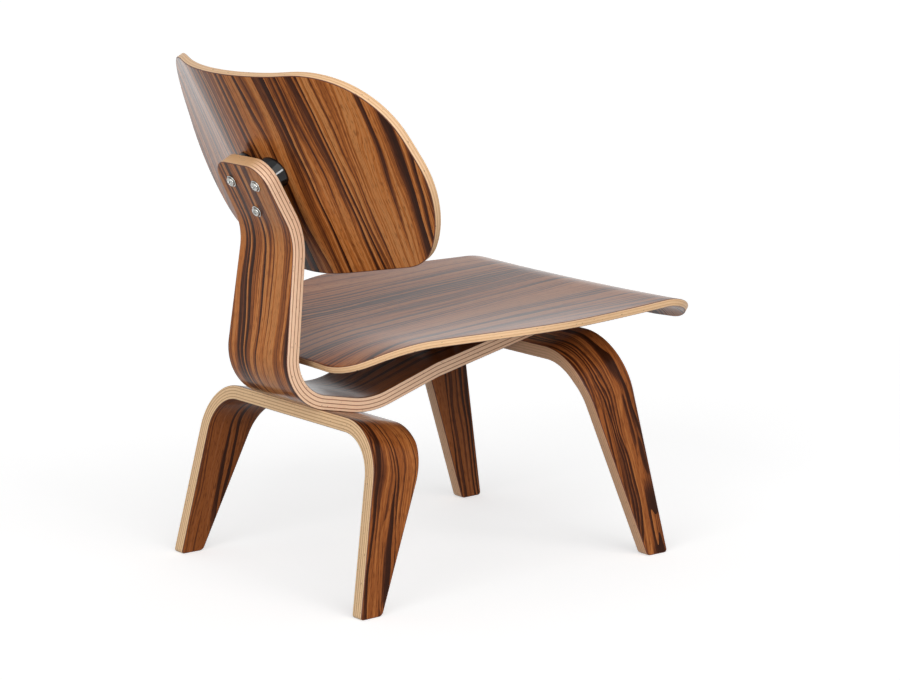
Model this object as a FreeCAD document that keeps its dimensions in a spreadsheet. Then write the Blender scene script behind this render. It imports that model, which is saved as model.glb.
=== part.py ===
"""Lounge chair of bent and moulded plywood, in millimetres.

Two leg arches carry one bent strip, the spine. The spine carries the seat shell on four
rubber mounts and the back shell on three. The chair faces -Y, +X is the sitter's left, +Z
is up and the floor is Z = 0.
"""
import FreeCAD, Part
import math
import os
import Sketcher
from FreeCAD import Placement, Rotation, Vector

SIZES = [
    ("rear_arch_y", 194.0, "rear arch, middle of its top face, behind the chair's middle"),
    ("rear_arch_z", 229.5, "rear arch, middle of its top face, above the floor"),
    ("rear_rake", 12.1, "rear arch, legs lean back, degrees"),
    ("rear_ply", 18.4, "rear arch, thickness of the bent strip"),
    ("rear_half_flat", 120.0, "rear arch, half of the flat between its bends"),
    ("rear_bend", 73.6, "rear arch, outer radius of its bends"),
    ("rear_splay", 5.9, "rear arch, legs lean outwards, degrees"),
    ("rear_top_back", 17.6, "rear arch, top face behind its middle"),
    ("rear_top_ahead", 59.7, "rear arch, top face ahead of its middle"),
    ("rear_shoulder", 18.5, "rear arch, depth under the top where the legs start to taper"),
    ("rear_foot", 33.1, "rear arch, depth of a foot, front to back"),
    ("front_rake", 11.5, "front arch, legs lean forward, degrees"),
    ("front_ply", 18.8, "front arch, thickness of the bent strip"),
    ("front_half_flat", 109.0, "front arch, half of the flat between its bends"),
    ("front_bend", 80.3, "front arch, outer radius of its bends"),
    ("front_splay", 5.1, "front arch, legs lean outwards, degrees"),
    ("front_top_back", 51.6, "front arch, top face behind its middle"),
    ("front_top_ahead", 20.3, "front arch, top face ahead of its middle"),
    ("front_shoulder", 42.0, "front arch, depth under the top where the legs start to taper"),
    ("front_foot", 33.4, "front arch, depth of a foot, front to back"),
    ("spine_ply", 19.1, "spine, thickness of the bent strip"),
    ("spine_width", 132.0, "spine, width below the seat"),
    ("head_width", 104.0, "spine, width at the top of its head"),
    ("head_corner", 28.0, "spine, radius of the head's corners"),
    ("tail_corner", 18.0, "spine, radius of the corners at its front end"),
    ("heel_flat", 13.9, "spine, flat behind the middle of the rear arch"),
    ("heel_bend", 68.7, "spine, outer radius of the bend at the heel"),
    ("upright_lean", 7.8, "spine, upright leans forward, degrees"),
    ("upright_length", 121.5, "spine, straight run of the upright"),
    ("neck_bend", 78.0, "spine, radius of the neck's rear face"),
    ("head_lean", 27.0, "spine, head leans back, degrees"),
    ("head_length", 78.5, "spine, straight run of the head"),
    ("belly_flat", 29.3, "spine, flat ahead of the middle of the rear arch"),
    ("belly_bend", 124.3, "spine, outer radius of the bend ahead of the rear arch"),
    ("ramp_angle", 17.1, "spine, rise of the ramp under the seat, degrees"),
    ("ramp_length", 77.9, "spine, straight run of the ramp"),
    ("knee_bend", 85.1, "spine, radius of the bend behind the front arch"),
    ("tail_length", 209.9, "spine, flat run over the front arch"),
    ("tail_reach", 21.2, "spine, front end ahead of the front arch's middle"),
    ("seat_ply", 10.0, "seat, thickness of the shell"),
    ("seat_crown_ahead", 62.4, "seat, middle's highest place ahead of the front arch"),
    ("seat_crown_rise", 30.7, "seat, middle's highest place above the spine"),
    ("seat_tilt", 4.2, "seat, middle falls towards the rear, degrees"),
    ("seat_tail_reach", 110.7, "seat, length of the middle's bend at the rear"),
    ("seat_tail_bend", 702.0, "seat, radius of that bend, top face"),
    ("seat_roll", 106.9, "seat, radius of the front roll, top face"),
    ("seat_lip", 48.5, "seat, front roll ends this far below level, degrees"),
    ("side_crown_ahead", 77.2, "seat sides, start of the front roll ahead of the front arch"),
    ("side_crown_rise", 33.0, "seat sides, start of the front roll above the spine"),
    ("side_rise", 0.1, "seat sides, rise towards the rear, degrees"),
    ("side_tail_reach", 90.6, "seat sides, length of the droop at the rear"),
    ("side_tail_bend", 100.3, "seat sides, radius of the droop, top face"),
    ("seat_back_gap", 25.5, "seat, rear edge ahead of the spine's upright"),
    ("seat_back_half", 118.6, "seat, half width at the rear corners before rounding"),
    ("seat_wide_back", 160.9, "seat, widest place behind the front arch"),
    ("seat_wide_half", 248.7, "seat, half width there before rounding"),
    ("seat_front_half", 203.1, "seat, half width at the front corners before rounding"),
    ("seat_front_sweep", 4.7, "seat, front corners behind the middle of the front edge"),
    ("seat_back_corner", 65.1, "seat, radius of the rear corners"),
    ("seat_side_round", 228.4, "seat, radius of the sides at the widest place"),
    ("seat_front_corner", 68.4, "seat, radius of the front corners"),
    ("back_ply", 10.0, "back, thickness of the shell"),
    ("back_curve", 305.2, "back, radius of the middle, rear face"),
    ("back_wing_top_tilt", 22.3, "back, wings turn forward at the top, degrees"),
    ("back_wing_foot_tilt", 12.4, "back, wings turn forward at the lower edge, degrees"),
    ("back_top", 157.0, "back, top edge above the mount"),
    ("back_top_fall", 14.6, "back, top corners below the middle of the top edge"),
    ("back_top_half", 212.8, "back, half width at the top corners before rounding"),
    ("back_side_fall", 46.5, "back, widest place below the mount"),
    ("back_side_half", 263.2, "back, half width there before rounding"),
    ("back_foot", 144.1, "back, lower edge below the mount"),
    ("back_foot_rise", 18.9, "back, lower corners above the middle of the lower edge"),
    ("back_foot_half", 207.4, "back, half width at the lower corners before rounding"),
    ("back_top_crown", 950.0, "back, radius of the top edge"),
    ("back_top_corner", 142.6, "back, radius of the top corners"),
    ("back_side_round", 134.6, "back, radius of the sides"),
    ("back_foot_corner", 65.9, "back, radius of the lower corners"),
    ("back_foot_crown", 911.0, "back, radius of the lower edge"),
    ("mount_height", 36.3, "back mounts, middle of the group above the spine's neck"),
    ("mount_depth", 12.5, "back mounts, thickness of the rubber at the middle of the back"),
    ("mount_radius", 22.0, "back mounts, radius of the rubber"),
    ("mount_screw_half", 26.6, "back mounts, half spacing of the two upper screws"),
    ("mount_screw_up", 13.8, "back mounts, upper screws above the middle of the group"),
    ("mount_screw_down", 27.7, "back mounts, lower screw below the middle of the group"),
    ("pad_radius", 26.0, "seat mounts, radius of the rubber"),
    ("pad_half_spread", 34.0, "seat mounts, distance from the middle plane"),
    ("pad_front_set", 18.0, "front seat mounts, behind the middle of the front arch"),
    ("pad_rear_set", 112.0, "rear seat mounts, behind the middle of the front arch"),
    ("leg_screw_half", 38.0, "rear leg screws, distance from the middle plane"),
    ("leg_screw_set", 18.0, "rear leg screws, ahead of the middle of the rear arch"),
    ("leg_insert_length", 12.0, "threaded inserts in the spine, length"),
    ("screw_radius", 3.0, "screws, radius of the shank"),
    ("screw_head_radius", 6.4, "screws, radius of the head"),
    ("screw_head_height", 3.6, "screws, height of the head"),
    ("screw_head_bevel", 1.6, "screws, bevel of the head's rim"),
    ("screw_tip_gap", 1.0, "screws, tip short of the insert's end"),
    ("washer_radius", 8.0, "washers, outer radius"),
    ("washer_thickness", 1.4, "washers, thickness"),
    ("insert_radius", 5.0, "threaded inserts, outer radius"),
    ("insert_length", 6.0, "threaded inserts in the rubber mounts, length"),
    ("hole_clearance", 0.3, "clearance round a shank in wood, all round"),
    ("fit_clearance", 0.1, "clearance of shank in insert and of insert in its seat, all round"),
    ("edge_stock", 4.0, "stock of a moulded blank beyond the edge it is trimmed to"),
    ("wing_stock", 16.0, "stock of the back's blank, along its wings, beyond the widest place"),
]

doc = FreeCAD.newDocument("Chair")
sheet = doc.addObject("Spreadsheet::Sheet", "Sizes")
for row, (alias, value, meaning) in enumerate(SIZES, start=1):
    sheet.set("A%d" % row, meaning)
    sheet.set("B%d" % row, str(value))
    sheet.setAlias("B%d" % row, alias)
doc.recompute()


def number(amount):
    """Value of an expression on the sheet's cells; a plain number stays as it is."""
    if not isinstance(amount, str):
        return float(amount)
    value = sheet.evalExpression(amount)
    return float(getattr(value, "Value", value))


def size(alias):
    """Value of a named cell."""
    return number("Sizes." + alias)


# Paths in the Y-Z plane or a sketch: runs joined by tangent arcs, angles in degrees.
# A step is ("run", length) or ("arc", radius, turn), with a positive turn to the left.

SPINE_UP = [
    ("run", "Sizes.heel_flat"),
    ("arc", "Sizes.heel_bend", "90 + Sizes.upright_lean - Sizes.rear_rake"),
    ("run", "Sizes.upright_length"),
    ("arc", "Sizes.neck_bend", "-Sizes.upright_lean - Sizes.head_lean"),
    ("run", "Sizes.head_length"),
]
SPINE_AHEAD = [
    ("run", "Sizes.belly_flat"),
    ("arc", "Sizes.belly_bend", "-Sizes.rear_rake - Sizes.ramp_angle"),
    ("run", "Sizes.ramp_length"),
    ("arc", "Sizes.knee_bend", "Sizes.ramp_angle - Sizes.front_rake"),
    ("run", "Sizes.tail_length"),
]
REARWARD, FORWARD = 0.0, 180.0


def ahead_of(point, heading, length):
    """Point a straight length away along a heading."""
    angle = math.radians(heading)
    return (point[0] + length * math.cos(angle), point[1] + length * math.sin(angle))


def turn_centre(point, heading, radius, turn):
    """Centre of an arc that starts at a point along a heading."""
    return ahead_of(point, heading + math.copysign(90.0, turn), radius)


def take_step(point, heading, step):
    """Point and heading after one step of a path."""
    if step[0] == "run":
        return ahead_of(point, heading, number(step[1])), heading
    radius, turn = number(step[1]), number(step[2])
    centre = turn_centre(point, heading, radius, turn)
    heading += turn
    return ahead_of(centre, heading - math.copysign(90.0, turn), radius), heading


def walk(heading, steps):
    """Point and heading after the steps of a path that starts at the origin."""
    point = (0.0, 0.0)
    for step in steps:
        point, heading = take_step(point, heading, step)
    return point, heading


def frame_at(point, lean):
    """Placement at a point of the Y-Z plane, turned about X."""
    return Placement(Vector(0, *point), Rotation(Vector(1, 0, 0), lean))


def hold(sketch, kind, where, amount):
    """Dimensions a sketch; an expression stays bound to the sheet."""
    value = number(amount)
    if kind == "Angle":
        value = math.radians(value)
    index = sketch.addConstraint(Sketcher.Constraint(kind, *where, value))
    if isinstance(amount, str):
        unit = " * 1 deg" if kind == "Angle" else ""
        sketch.setExpression("Constraints[%d]" % index, "(%s)%s" % (amount, unit))


def hold_point(sketch, item, end, x, y):
    """Dimensions a point from the sketch's origin."""
    hold(sketch, "DistanceX", (-1, 1, item, end), x)
    hold(sketch, "DistanceY", (-1, 1, item, end), y)


def join(sketch, kind, first, second):
    """Joins two ends, each an (item, end) pair."""
    sketch.addConstraint(Sketcher.Constraint(kind, *first, *second))


def line(sketch, start, end, construction=False):
    """Straight line between two points of a sketch."""
    return sketch.addGeometry(Part.LineSegment(Vector(*start), Vector(*end)), construction)


def new_body(label):
    """Body of one piece, labelled with the piece's name."""
    body = doc.addObject("PartDesign::Body", label)
    body.Label = label
    return body


def origin_item(body, role):
    """Plane or axis of a body's origin."""
    return [item for item in body.Origin.OriginFeatures if item.Role == role][0]


def new_sketch(body, name, role, offset=None):
    """Sketch on an origin plane of its body, moved along the plane's normal."""
    sketch = body.newObject("Sketcher::SketchObject", name)
    sketch.AttachmentSupport = [(origin_item(body, role), "")]
    sketch.MapMode = "FlatFace"
    if offset is not None:
        sketch.setExpression("AttachmentOffset.Base.z", offset)
    return sketch


def draw_path(sketch, start, heading, steps, shift="0"):
    """Draws a path, or the curve parallel to it at a shift to its right.

    A short construction line holds the heading of the first step. The first and the last
    end of the drawn curve are returned as (item, end) pairs.
    """
    offset, angle = number(shift), number(heading)
    place = ahead_of((number(start[0]), number(start[1])), angle - 90.0, offset)
    lead = line(sketch, ahead_of(place, angle, -size("edge_stock")), place, True)
    hold(sketch, "Distance", (lead,), "Sizes.edge_stock")
    hold(sketch, "Angle", (lead,), heading)
    side = "sin((%s) * 1 deg) * (%s)" % (heading, shift)
    down = "cos((%s) * 1 deg) * (%s)" % (heading, shift)
    hold_point(sketch, lead, 2, "(%s) + %s" % (start[0], side), "(%s) - %s" % (start[1], down))
    first, last = None, (lead, 2)
    for step in steps:
        if step[0] == "run":
            end, following = take_step(place, angle, step)
            item = line(sketch, place, end)
            near, far = 1, 2
            hold(sketch, "Distance", (item,), step[1])
        else:
            turn = number(step[2])
            sign = "-" if turn < 0 else "+"
            radius = "%s %s (%s)" % (step[1], sign, shift)
            end, following = take_step(place, angle, ("arc", radius, step[2]))
            centre = turn_centre(place, angle, number(radius), turn)
            from_angle = math.radians(angle - math.copysign(90.0, turn))
            to_angle = math.radians(following - math.copysign(90.0, turn))
            circle = Part.Circle(Vector(*centre), Vector(0, 0, 1), number(radius))
            span = sorted((from_angle, to_angle))
            item = sketch.addGeometry(Part.ArcOfCircle(circle, *span))
            near, far = (1, 2) if turn > 0 else (2, 1)
            hold(sketch, "Radius", (item,), radius)
            arc_span = "abs(%s)" % step[2] if isinstance(step[2], str) else abs(turn)
            hold(sketch, "Angle", (item,), arc_span)
        join(sketch, "Tangent", last, (item, near))
        first = first or (item, near)
        last, place, angle = (item, far), end, following
    return first, last


def end_point(sketch, end):
    """Coordinates of an (item, end) pair."""
    point = sketch.getPoint(*end)
    return (point.x, point.y)


def draw_strip(sketch, start, heading, steps, ply):
    """Closed profile of a bent sheet: a path, its parallel and two end lines."""
    face = draw_path(sketch, start, heading, steps)
    other = draw_path(sketch, start, heading, steps, ply)
    for first, second in zip(face, other):
        item = line(sketch, end_point(sketch, first), end_point(sketch, second))
        join(sketch, "Coincident", (item, 1), first)
        join(sketch, "Coincident", (item, 2), second)


def directions(spots, index):
    """Directions from a corner of a closed outline to the corners before and after it."""
    here = spots[index]
    after = spots[(index + 1) % len(spots)]
    return (spots[index - 1] - here).normalize(), (after - here).normalize()


def fitting_radii(spots, radii):
    """Radii of an outline's corners; two arcs too long for the side between them are limited by it."""
    reaches = []
    for index, radius in enumerate(radii):
        back, ahead = directions(spots, index)
        reaches.append(number(radius or 0) / math.tan(back.getAngle(ahead) / 2))
    shares = [1.0] * len(radii)
    for index, reach in enumerate(reaches):
        room = spots[index].distanceToPoint(spots[index - 1]) - size("fit_clearance")
        taken = reaches[index - 1] + reach
        if taken > room > 0:
            for end in (index - 1, index):
                shares[end] = min(shares[end], room / taken)
    return [radius if share == 1 else "(%s) * %f" % (radius, share) for radius, share in zip(radii, shares)]


def draw_outline(sketch, corners):
    """Closed outline through corners (x, y, radius); a corner with no radius stays sharp.

    Rounded corners are tangent arcs, and a construction point keeps the corner's place.
    """
    spots = [Vector(number(x), number(y)) for x, y, radius in corners]
    starts, ends, arcs = [], [], []
    for index, radius in enumerate(fitting_radii(spots, [radius for x, y, radius in corners])):
        here = spots[index]
        back, ahead = directions(spots, index)
        arc = None
        reach = 0.0
        if radius is not None:
            half = back.getAngle(ahead) / 2
            reach = number(radius) / math.tan(half)
            middle = (back + ahead).normalize()
            crown = here + middle * (number(radius) / math.sin(half) - number(radius))
            arc = sketch.addGeometry(Part.Arc(here + back * reach, crown, here + ahead * reach))
            hold(sketch, "Radius", (arc,), radius)
        arcs.append((arc, (1, 2) if ahead.cross(back).z > 0 else (2, 1)))
        ends.append(here + back * reach)
        starts.append(here + ahead * reach)
    sides = []
    for index, start in enumerate(starts):
        sides.append(line(sketch, start, ends[(index + 1) % len(ends)]))
    for index, (x, y, radius) in enumerate(corners):
        before, after = sides[index - 1], sides[index]
        arc, (near, far) = arcs[index]
        if arc is None:
            join(sketch, "Coincident", (before, 2), (after, 1))
            hold_point(sketch, after, 1, x, y)
            continue
        corner = sketch.addGeometry(Part.Point(spots[index]), True)
        join(sketch, "Tangent", (before, 2), (arc, near))
        join(sketch, "Tangent", (arc, far), (after, 1))
        hold_point(sketch, corner, 1, x, y)
        sketch.addConstraint(Sketcher.Constraint("PointOnObject", corner, 1, before))
        sketch.addConstraint(Sketcher.Constraint("PointOnObject", corner, 1, after))


def mirrored(corners):
    """Corners of the +X half followed by those of the -X half, in the other order."""
    opposite = [("-(%s)" % x, y, radius) for x, y, radius in reversed(corners) if x != "0"]
    return corners + opposite


def sharp(points):
    """Corners with no radius."""
    return [(x, y, None) for x, y in points]


def cut_feature(body, sketch, name, both_ways=True, depth=None):
    """Pocket right through the body, or to a depth along the sketch's normal."""
    before = body.Tip.Shape.Volume
    pocket = body.newObject("PartDesign::Pocket", name)
    pocket.Profile = sketch
    if depth is None:
        pocket.Type = "ThroughAll"
        pocket.SideType = "Symmetric" if both_ways else "One side"
    else:
        pocket.setExpression("Length", depth)
        pocket.Reversed = True
    doc.recompute()
    if not 0 < pocket.Shape.Volume < before:
        raise RuntimeError(name + " cuts nothing")


def trim(body, role, corners):
    """Cuts away all of a body that lies outside an outline."""
    name = body.Label + "_trim"
    sketch = new_sketch(body, name + "_outline", role)
    draw_outline(sketch, corners)
    reach = body.Tip.Shape.BoundBox.DiagonalLength
    draw_outline(sketch, sharp([(reach, reach), (reach, -reach), (-reach, -reach), (-reach, reach)]))
    cut_feature(body, sketch, name)


def drill(body, name, spots, radius, frame=Placement(), depth=None):
    """Round holes square to the X-Y plane of a frame, given in the body's own frame."""
    sketch = new_sketch(body, name + "_centres", "XY_Plane")
    sketch.AttachmentOffset = frame
    for x, y in spots:
        circle = Part.Circle(Vector(number(x), number(y)), Vector(0, 0, 1), number(radius))
        item = sketch.addGeometry(circle)
        hold_point(sketch, item, 3, x, y)
        hold(sketch, "Radius", (item,), radius)
    cut_feature(body, sketch, name, depth=depth)


def round_corners(body, name, middle, radius):
    """Fillets the two edges across the strip whose midpoints lie at a place in the Y-Z plane."""
    base = body.Tip
    names = []
    for index, edge in enumerate(base.Shape.Edges, start=1):
        spot = edge.CenterOfMass
        near = math.hypot(spot.y - middle[0], spot.z - middle[1]) < size("fit_clearance")
        if near and abs(spot.x) > size("spine_ply"):
            names.append("Edge%d" % index)
    fillet = body.newObject("PartDesign::Fillet", name)
    fillet.Base = (base, names)
    fillet.setExpression("Radius", radius)
    doc.recompute()


# Frames that the pieces share

REAR = frame_at((size("rear_arch_y"), size("rear_arch_z")), size("rear_rake"))

neck_end, head_heading = walk(REARWARD, SPINE_UP[:-1])
head_end = ahead_of(neck_end, head_heading, size("head_length"))
HEAD = REAR.multiply(frame_at(neck_end, head_heading))

knee_end, tail_heading = walk(FORWARD, SPINE_AHEAD[:-1])
tail_end = ahead_of(knee_end, tail_heading, size("tail_length"))
front_spot = ahead_of(tail_end, tail_heading, -size("tail_reach"))
FRONT = REAR.multiply(frame_at(front_spot, tail_heading - FORWARD))

SEAT = Placement(FRONT.multVec(Vector(0, 0, size("spine_ply"))), Rotation())
MOUNT = HEAD.multiply(Placement(Vector(0, size("mount_height"), size("spine_ply")), Rotation()))
BACK = MOUNT.multiply(Placement(Vector(0, 0, size("mount_depth")), Rotation()))


def pair(x, y):
    """Two places, on the sitter's left and right."""
    return [(x, y), ("-" + x, y)]


FRONT_PADS = pair("Sizes.pad_half_spread", "Sizes.pad_front_set")
REAR_PADS = pair("Sizes.pad_half_spread", "Sizes.pad_rear_set")
LEG_SPOTS = pair("Sizes.leg_screw_half", "-Sizes.leg_screw_set")
BACK_SPOTS = pair("Sizes.mount_screw_half", "Sizes.mount_screw_up") + [("0", "-Sizes.mount_screw_down")]
SHANK_HOLE = "Sizes.screw_radius + Sizes.hole_clearance"
INSERT_SEAT = "Sizes.insert_radius + Sizes.fit_clearance"


def leg_arch(label, side, frame, lean, spots):
    """Bent arch whose origin is the middle of its top face.

    Half of the strip is swept over the top and down one leg, mirrored, and trimmed in side
    view, where the legs taper and the feet are cut level with the floor.
    """
    body = new_body(label)
    cell = "Sizes." + side + "_"
    slope = math.tan(math.radians(lean))
    drop = frame.Base.z / math.cos(math.radians(lean))
    path = new_sketch(body, label + "_path", "XZ_Plane")
    draw_path(path, ("0", "0"), "0", [
        ("run", cell + "half_flat"),
        ("arc", cell + "bend", cell + "splay - 90"),
        ("run", drop / math.cos(math.radians(size(side + "_splay")))),
    ])
    section = new_sketch(body, label + "_section", "YZ_Plane")
    blank_back = cell + "top_back + Sizes.edge_stock"
    blank_ahead = "-%stop_ahead - Sizes.edge_stock" % cell
    draw_outline(section, sharp([
        (blank_back, "0"),
        (blank_back, "-%sply" % cell),
        (blank_ahead, "-%sply" % cell),
        (blank_ahead, "0"),
    ]))
    sweep = body.newObject("PartDesign::AdditivePipe", label + "_half")
    sweep.Profile = section
    sweep.Spine = (path, [])
    whole = body.newObject("PartDesign::Mirrored", label + "_whole")
    whole.Originals = [sweep]
    whole.MirrorPlane = (origin_item(body, "YZ_Plane"), [""])
    body.Tip = whole
    doc.recompute()
    half = size(side + "_foot") / 2
    trim(body, "YZ_Plane", sharp([
        (cell + "top_back", cell + "ply"),
        (cell + "top_back", "-%sshoulder" % cell),
        (half, -drop - half * slope),
        (-half, -drop + half * slope),
        ("-%stop_ahead" % cell, "-%sshoulder" % cell),
        ("-%stop_ahead" % cell, cell + "ply"),
    ]))
    drill(body, label + "_screw_holes", spots, SHANK_HOLE)
    body.Placement = frame
    return body


def spine():
    """Bent strip from the head, over the rear arch, to the tail on the front arch."""
    body = new_body("spine")
    section = new_sketch(body, "spine_section", "XZ_Plane")
    half = "Sizes.spine_width / 2"
    ply = "Sizes.spine_ply"
    draw_outline(section, sharp([(half, "0"), ("-" + half, "0"), ("-" + half, ply), (half, ply)]))
    for name, heading, steps in (("spine_up", REARWARD, SPINE_UP), ("spine_ahead", FORWARD, SPINE_AHEAD)):
        path = new_sketch(body, name + "_path", "YZ_Plane")
        draw_path(path, ("0", "0"), str(heading), steps)
        sweep = body.newObject("PartDesign::AdditivePipe", name)
        sweep.Profile = section
        sweep.Spine = (path, [])
        doc.recompute()
    heel_end = walk(REARWARD, SPINE_UP[:2])[0]
    top = head_end[1] + size("spine_ply")
    outside = "Sizes.spine_width / 2 + Sizes.edge_stock"
    taper = new_sketch(body, "spine_taper_sides", "XZ_Plane")
    for sign in ("", "-"):
        draw_outline(taper, sharp([
            ("%s(%s)" % (sign, half), heel_end[1]),
            ("%s(%s)" % (sign, outside), heel_end[1]),
            ("%s(%s)" % (sign, outside), top),
            ("%s(Sizes.head_width / 2)" % sign, top),
        ]))
    cut_feature(body, taper, "spine_taper", both_ways=False)
    for name, end, heading, radius in (
        ("spine_head_corners", head_end, head_heading, "Sizes.head_corner"),
        ("spine_tail_corners", tail_end, tail_heading - FORWARD, "Sizes.tail_corner"),
    ):
        middle = ahead_of(end, heading + 90.0, size("spine_ply") / 2)
        round_corners(body, name, middle, radius)
    to_local = REAR.inverse()
    drill(body, "spine_back_holes", BACK_SPOTS, SHANK_HOLE, to_local.multiply(MOUNT))
    drill(body, "spine_seat_holes", FRONT_PADS + REAR_PADS, SHANK_HOLE, to_local.multiply(FRONT))
    drill(body, "spine_leg_holes", LEG_SPOTS, INSERT_SEAT, depth="Sizes.leg_insert_length")
    body.Placement = REAR
    return body


def seat_section(body, name, offset, cells, tilt, rear_edge):
    """Profile of the seat's sheet in a plane X = offset, from the front lip to the rear edge."""
    ahead, rise, reach, radius = ("Sizes." + cell for cell in cells)
    fall = number(tilt)
    lip = "Sizes.seat_lip * 1 deg"
    start = (
        "-%s - Sizes.seat_roll * (sin(%s) + sin((%s) * 1 deg))" % (ahead, lip, tilt),
        "%s + Sizes.seat_roll * (cos(%s) - cos((%s) * 1 deg))" % (rise, lip, tilt),
    )
    run = (rear_edge - number(reach) + number(ahead)) / math.cos(math.radians(fall))
    rear_reach = number(reach) + size("edge_stock")
    droop = math.degrees(math.asin(math.sin(math.radians(fall)) + rear_reach / number(radius)))
    sketch = new_sketch(body, name, "YZ_Plane", offset)
    draw_strip(sketch, start, "Sizes.seat_lip", [
        ("arc", "Sizes.seat_roll", "-Sizes.seat_lip - (%s)" % tilt),
        ("run", run),
        ("arc", radius, fall - droop),
    ], "Sizes.seat_ply")
    return sketch


def seat_shell():
    """Moulded seat: a sheet lofted through three profiles and trimmed in plan view."""
    body = new_body("seat_shell")
    heel_end, heading = walk(REARWARD, SPINE_UP[:2])
    upright = REAR.multiply(frame_at(heel_end, heading))
    face = upright.multVec(Vector(0, 0, size("spine_ply")))
    lean = math.tan(math.radians(size("upright_lean")))
    rear_edge = face.y - (SEAT.Base.z - face.z) * lean - SEAT.Base.y - size("seat_back_gap")
    middle = ("seat_crown_ahead", "seat_crown_rise", "seat_tail_reach", "seat_tail_bend")
    side = ("side_crown_ahead", "side_crown_rise", "side_tail_reach", "side_tail_bend")
    edge = "Sizes.seat_wide_half + Sizes.edge_stock"
    right = seat_section(body, "seat_right_profile", "-(%s)" % edge, side, "-Sizes.side_rise", rear_edge)
    centre = seat_section(body, "seat_middle_profile", "0", middle, "Sizes.seat_tilt", rear_edge)
    left = seat_section(body, "seat_left_profile", edge, side, "-Sizes.side_rise", rear_edge)
    loft = body.newObject("PartDesign::AdditiveLoft", "seat_sheet")
    loft.Profile = right
    loft.Sections = [centre, left]
    doc.recompute()
    lip_turn = "(sin(Sizes.seat_lip * 1 deg) + sin(Sizes.seat_tilt * 1 deg))"
    front_edge = "-Sizes.seat_crown_ahead - Sizes.seat_roll * %s - Sizes.hole_clearance" % lip_turn
    trim(body, "XY_Plane", mirrored([
        ("Sizes.seat_back_half", rear_edge, "Sizes.seat_back_corner"),
        ("Sizes.seat_wide_half", "Sizes.seat_wide_back", "Sizes.seat_side_round"),
        ("Sizes.seat_front_half", front_edge + " + Sizes.seat_front_sweep", "Sizes.seat_front_corner"),
        ("0", front_edge, None),
    ]))
    body.Placement = SEAT
    return body


def back_shell():
    """Moulded back: half a sheet lofted between two profiles, mirrored and trimmed in front view."""
    body = new_body("back_shell")
    profiles = []
    for name, offset, wing in (
        ("back_top_profile", "-Sizes.back_top - Sizes.edge_stock", "Sizes.back_wing_top_tilt"),
        ("back_foot_profile", "Sizes.back_foot + Sizes.edge_stock", "Sizes.back_wing_foot_tilt"),
    ):
        sketch = new_sketch(body, name, "XZ_Plane", offset)
        arc_length = "Sizes.back_curve * %s * pi / 180" % wing
        draw_strip(sketch, ("0", "0"), "0", [
            ("arc", "Sizes.back_curve", wing),
            ("run", "Sizes.back_side_half + Sizes.wing_stock - " + arc_length),
        ], "-Sizes.back_ply")
        profiles.append(sketch)
    loft = body.newObject("PartDesign::AdditiveLoft", "back_half_sheet")
    loft.Profile = profiles[0]
    loft.Sections = profiles[1:]
    whole = body.newObject("PartDesign::Mirrored", "back_sheet")
    whole.Originals = [loft]
    whole.MirrorPlane = (origin_item(body, "YZ_Plane"), [""])
    body.Tip = whole
    doc.recompute()
    trim(body, "XY_Plane", mirrored([
        ("0", "Sizes.back_top", "Sizes.back_top_crown"),
        ("Sizes.back_top_half", "Sizes.back_top - Sizes.back_top_fall", "Sizes.back_top_corner"),
        ("Sizes.back_side_half", "-Sizes.back_side_fall", "Sizes.back_side_round"),
        ("Sizes.back_foot_half", "Sizes.back_foot_rise - Sizes.back_foot", "Sizes.back_foot_corner"),
        ("0", "-Sizes.back_foot", "Sizes.back_foot_crown"),
    ]))
    body.Placement = BACK
    return body


def rubber_mount(label, frame, spot, radius, shell):
    """Round rubber mount on the X-Y plane of a frame, moulded to the shell that it carries.

    Its insert sits in a blind seat in the face on the spine.
    """
    base = Vector(number(spot[0]), number(spot[1]), 0)
    blank = Part.makeCylinder(size(radius), shell.Shape.BoundBox.DiagonalLength, base)
    seat = Part.makeCylinder(number(INSERT_SEAT), size("insert_length"), base)
    for shape in (blank, seat):
        shape.Placement = frame.multiply(shape.Placement)
    rest = blank.cut(shell.Shape)
    foot = frame.multVec(base)
    mount = min(rest.Solids, key=lambda solid: solid.CenterOfMass.distanceToPoint(foot))
    piece = doc.addObject("Part::Feature", label)
    piece.Label = label
    piece.Shape = mount.cut(seat)
    return piece


def ring_group(label, frame, spots, level, outer, bore, length):
    """Group of equal rings, square to the X-Y plane of a frame, from a level upwards."""
    rings = []
    for index, (x, y) in enumerate(spots, start=1):
        name = "%s_%d" % (label, index)
        body = doc.addObject("Part::Cylinder", name + "_outside")
        hole = doc.addObject("Part::Cylinder", name + "_bore")
        for cylinder, radius in ((body, outer), (hole, bore)):
            cylinder.setExpression("Radius", radius)
            cylinder.setExpression("Height", length)
        ring = doc.addObject("Part::Cut", name)
        ring.Base = body
        ring.Tool = hole
        ring.Placement = frame.multiply(Placement(Vector(number(x), number(y), number(level)), Rotation()))
        rings.append(ring)
    group = doc.addObject("Part::Compound", label)
    group.Label = label
    group.Links = rings
    return group


def washer_group(label, frame, spots, face):
    """Washers against a face that lies at a level of a frame, on its lower side."""
    level = "%s - Sizes.washer_thickness" % face
    return ring_group(label, frame, spots, level, "Sizes.washer_radius", SHANK_HOLE, "Sizes.washer_thickness")


def insert_group(label, frame, spots, length):
    """Threaded inserts from the X-Y plane of a frame upwards."""
    bore = "Sizes.screw_radius + Sizes.fit_clearance"
    return ring_group(label, frame, spots, "0", "Sizes.insert_radius", bore, length)


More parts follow.
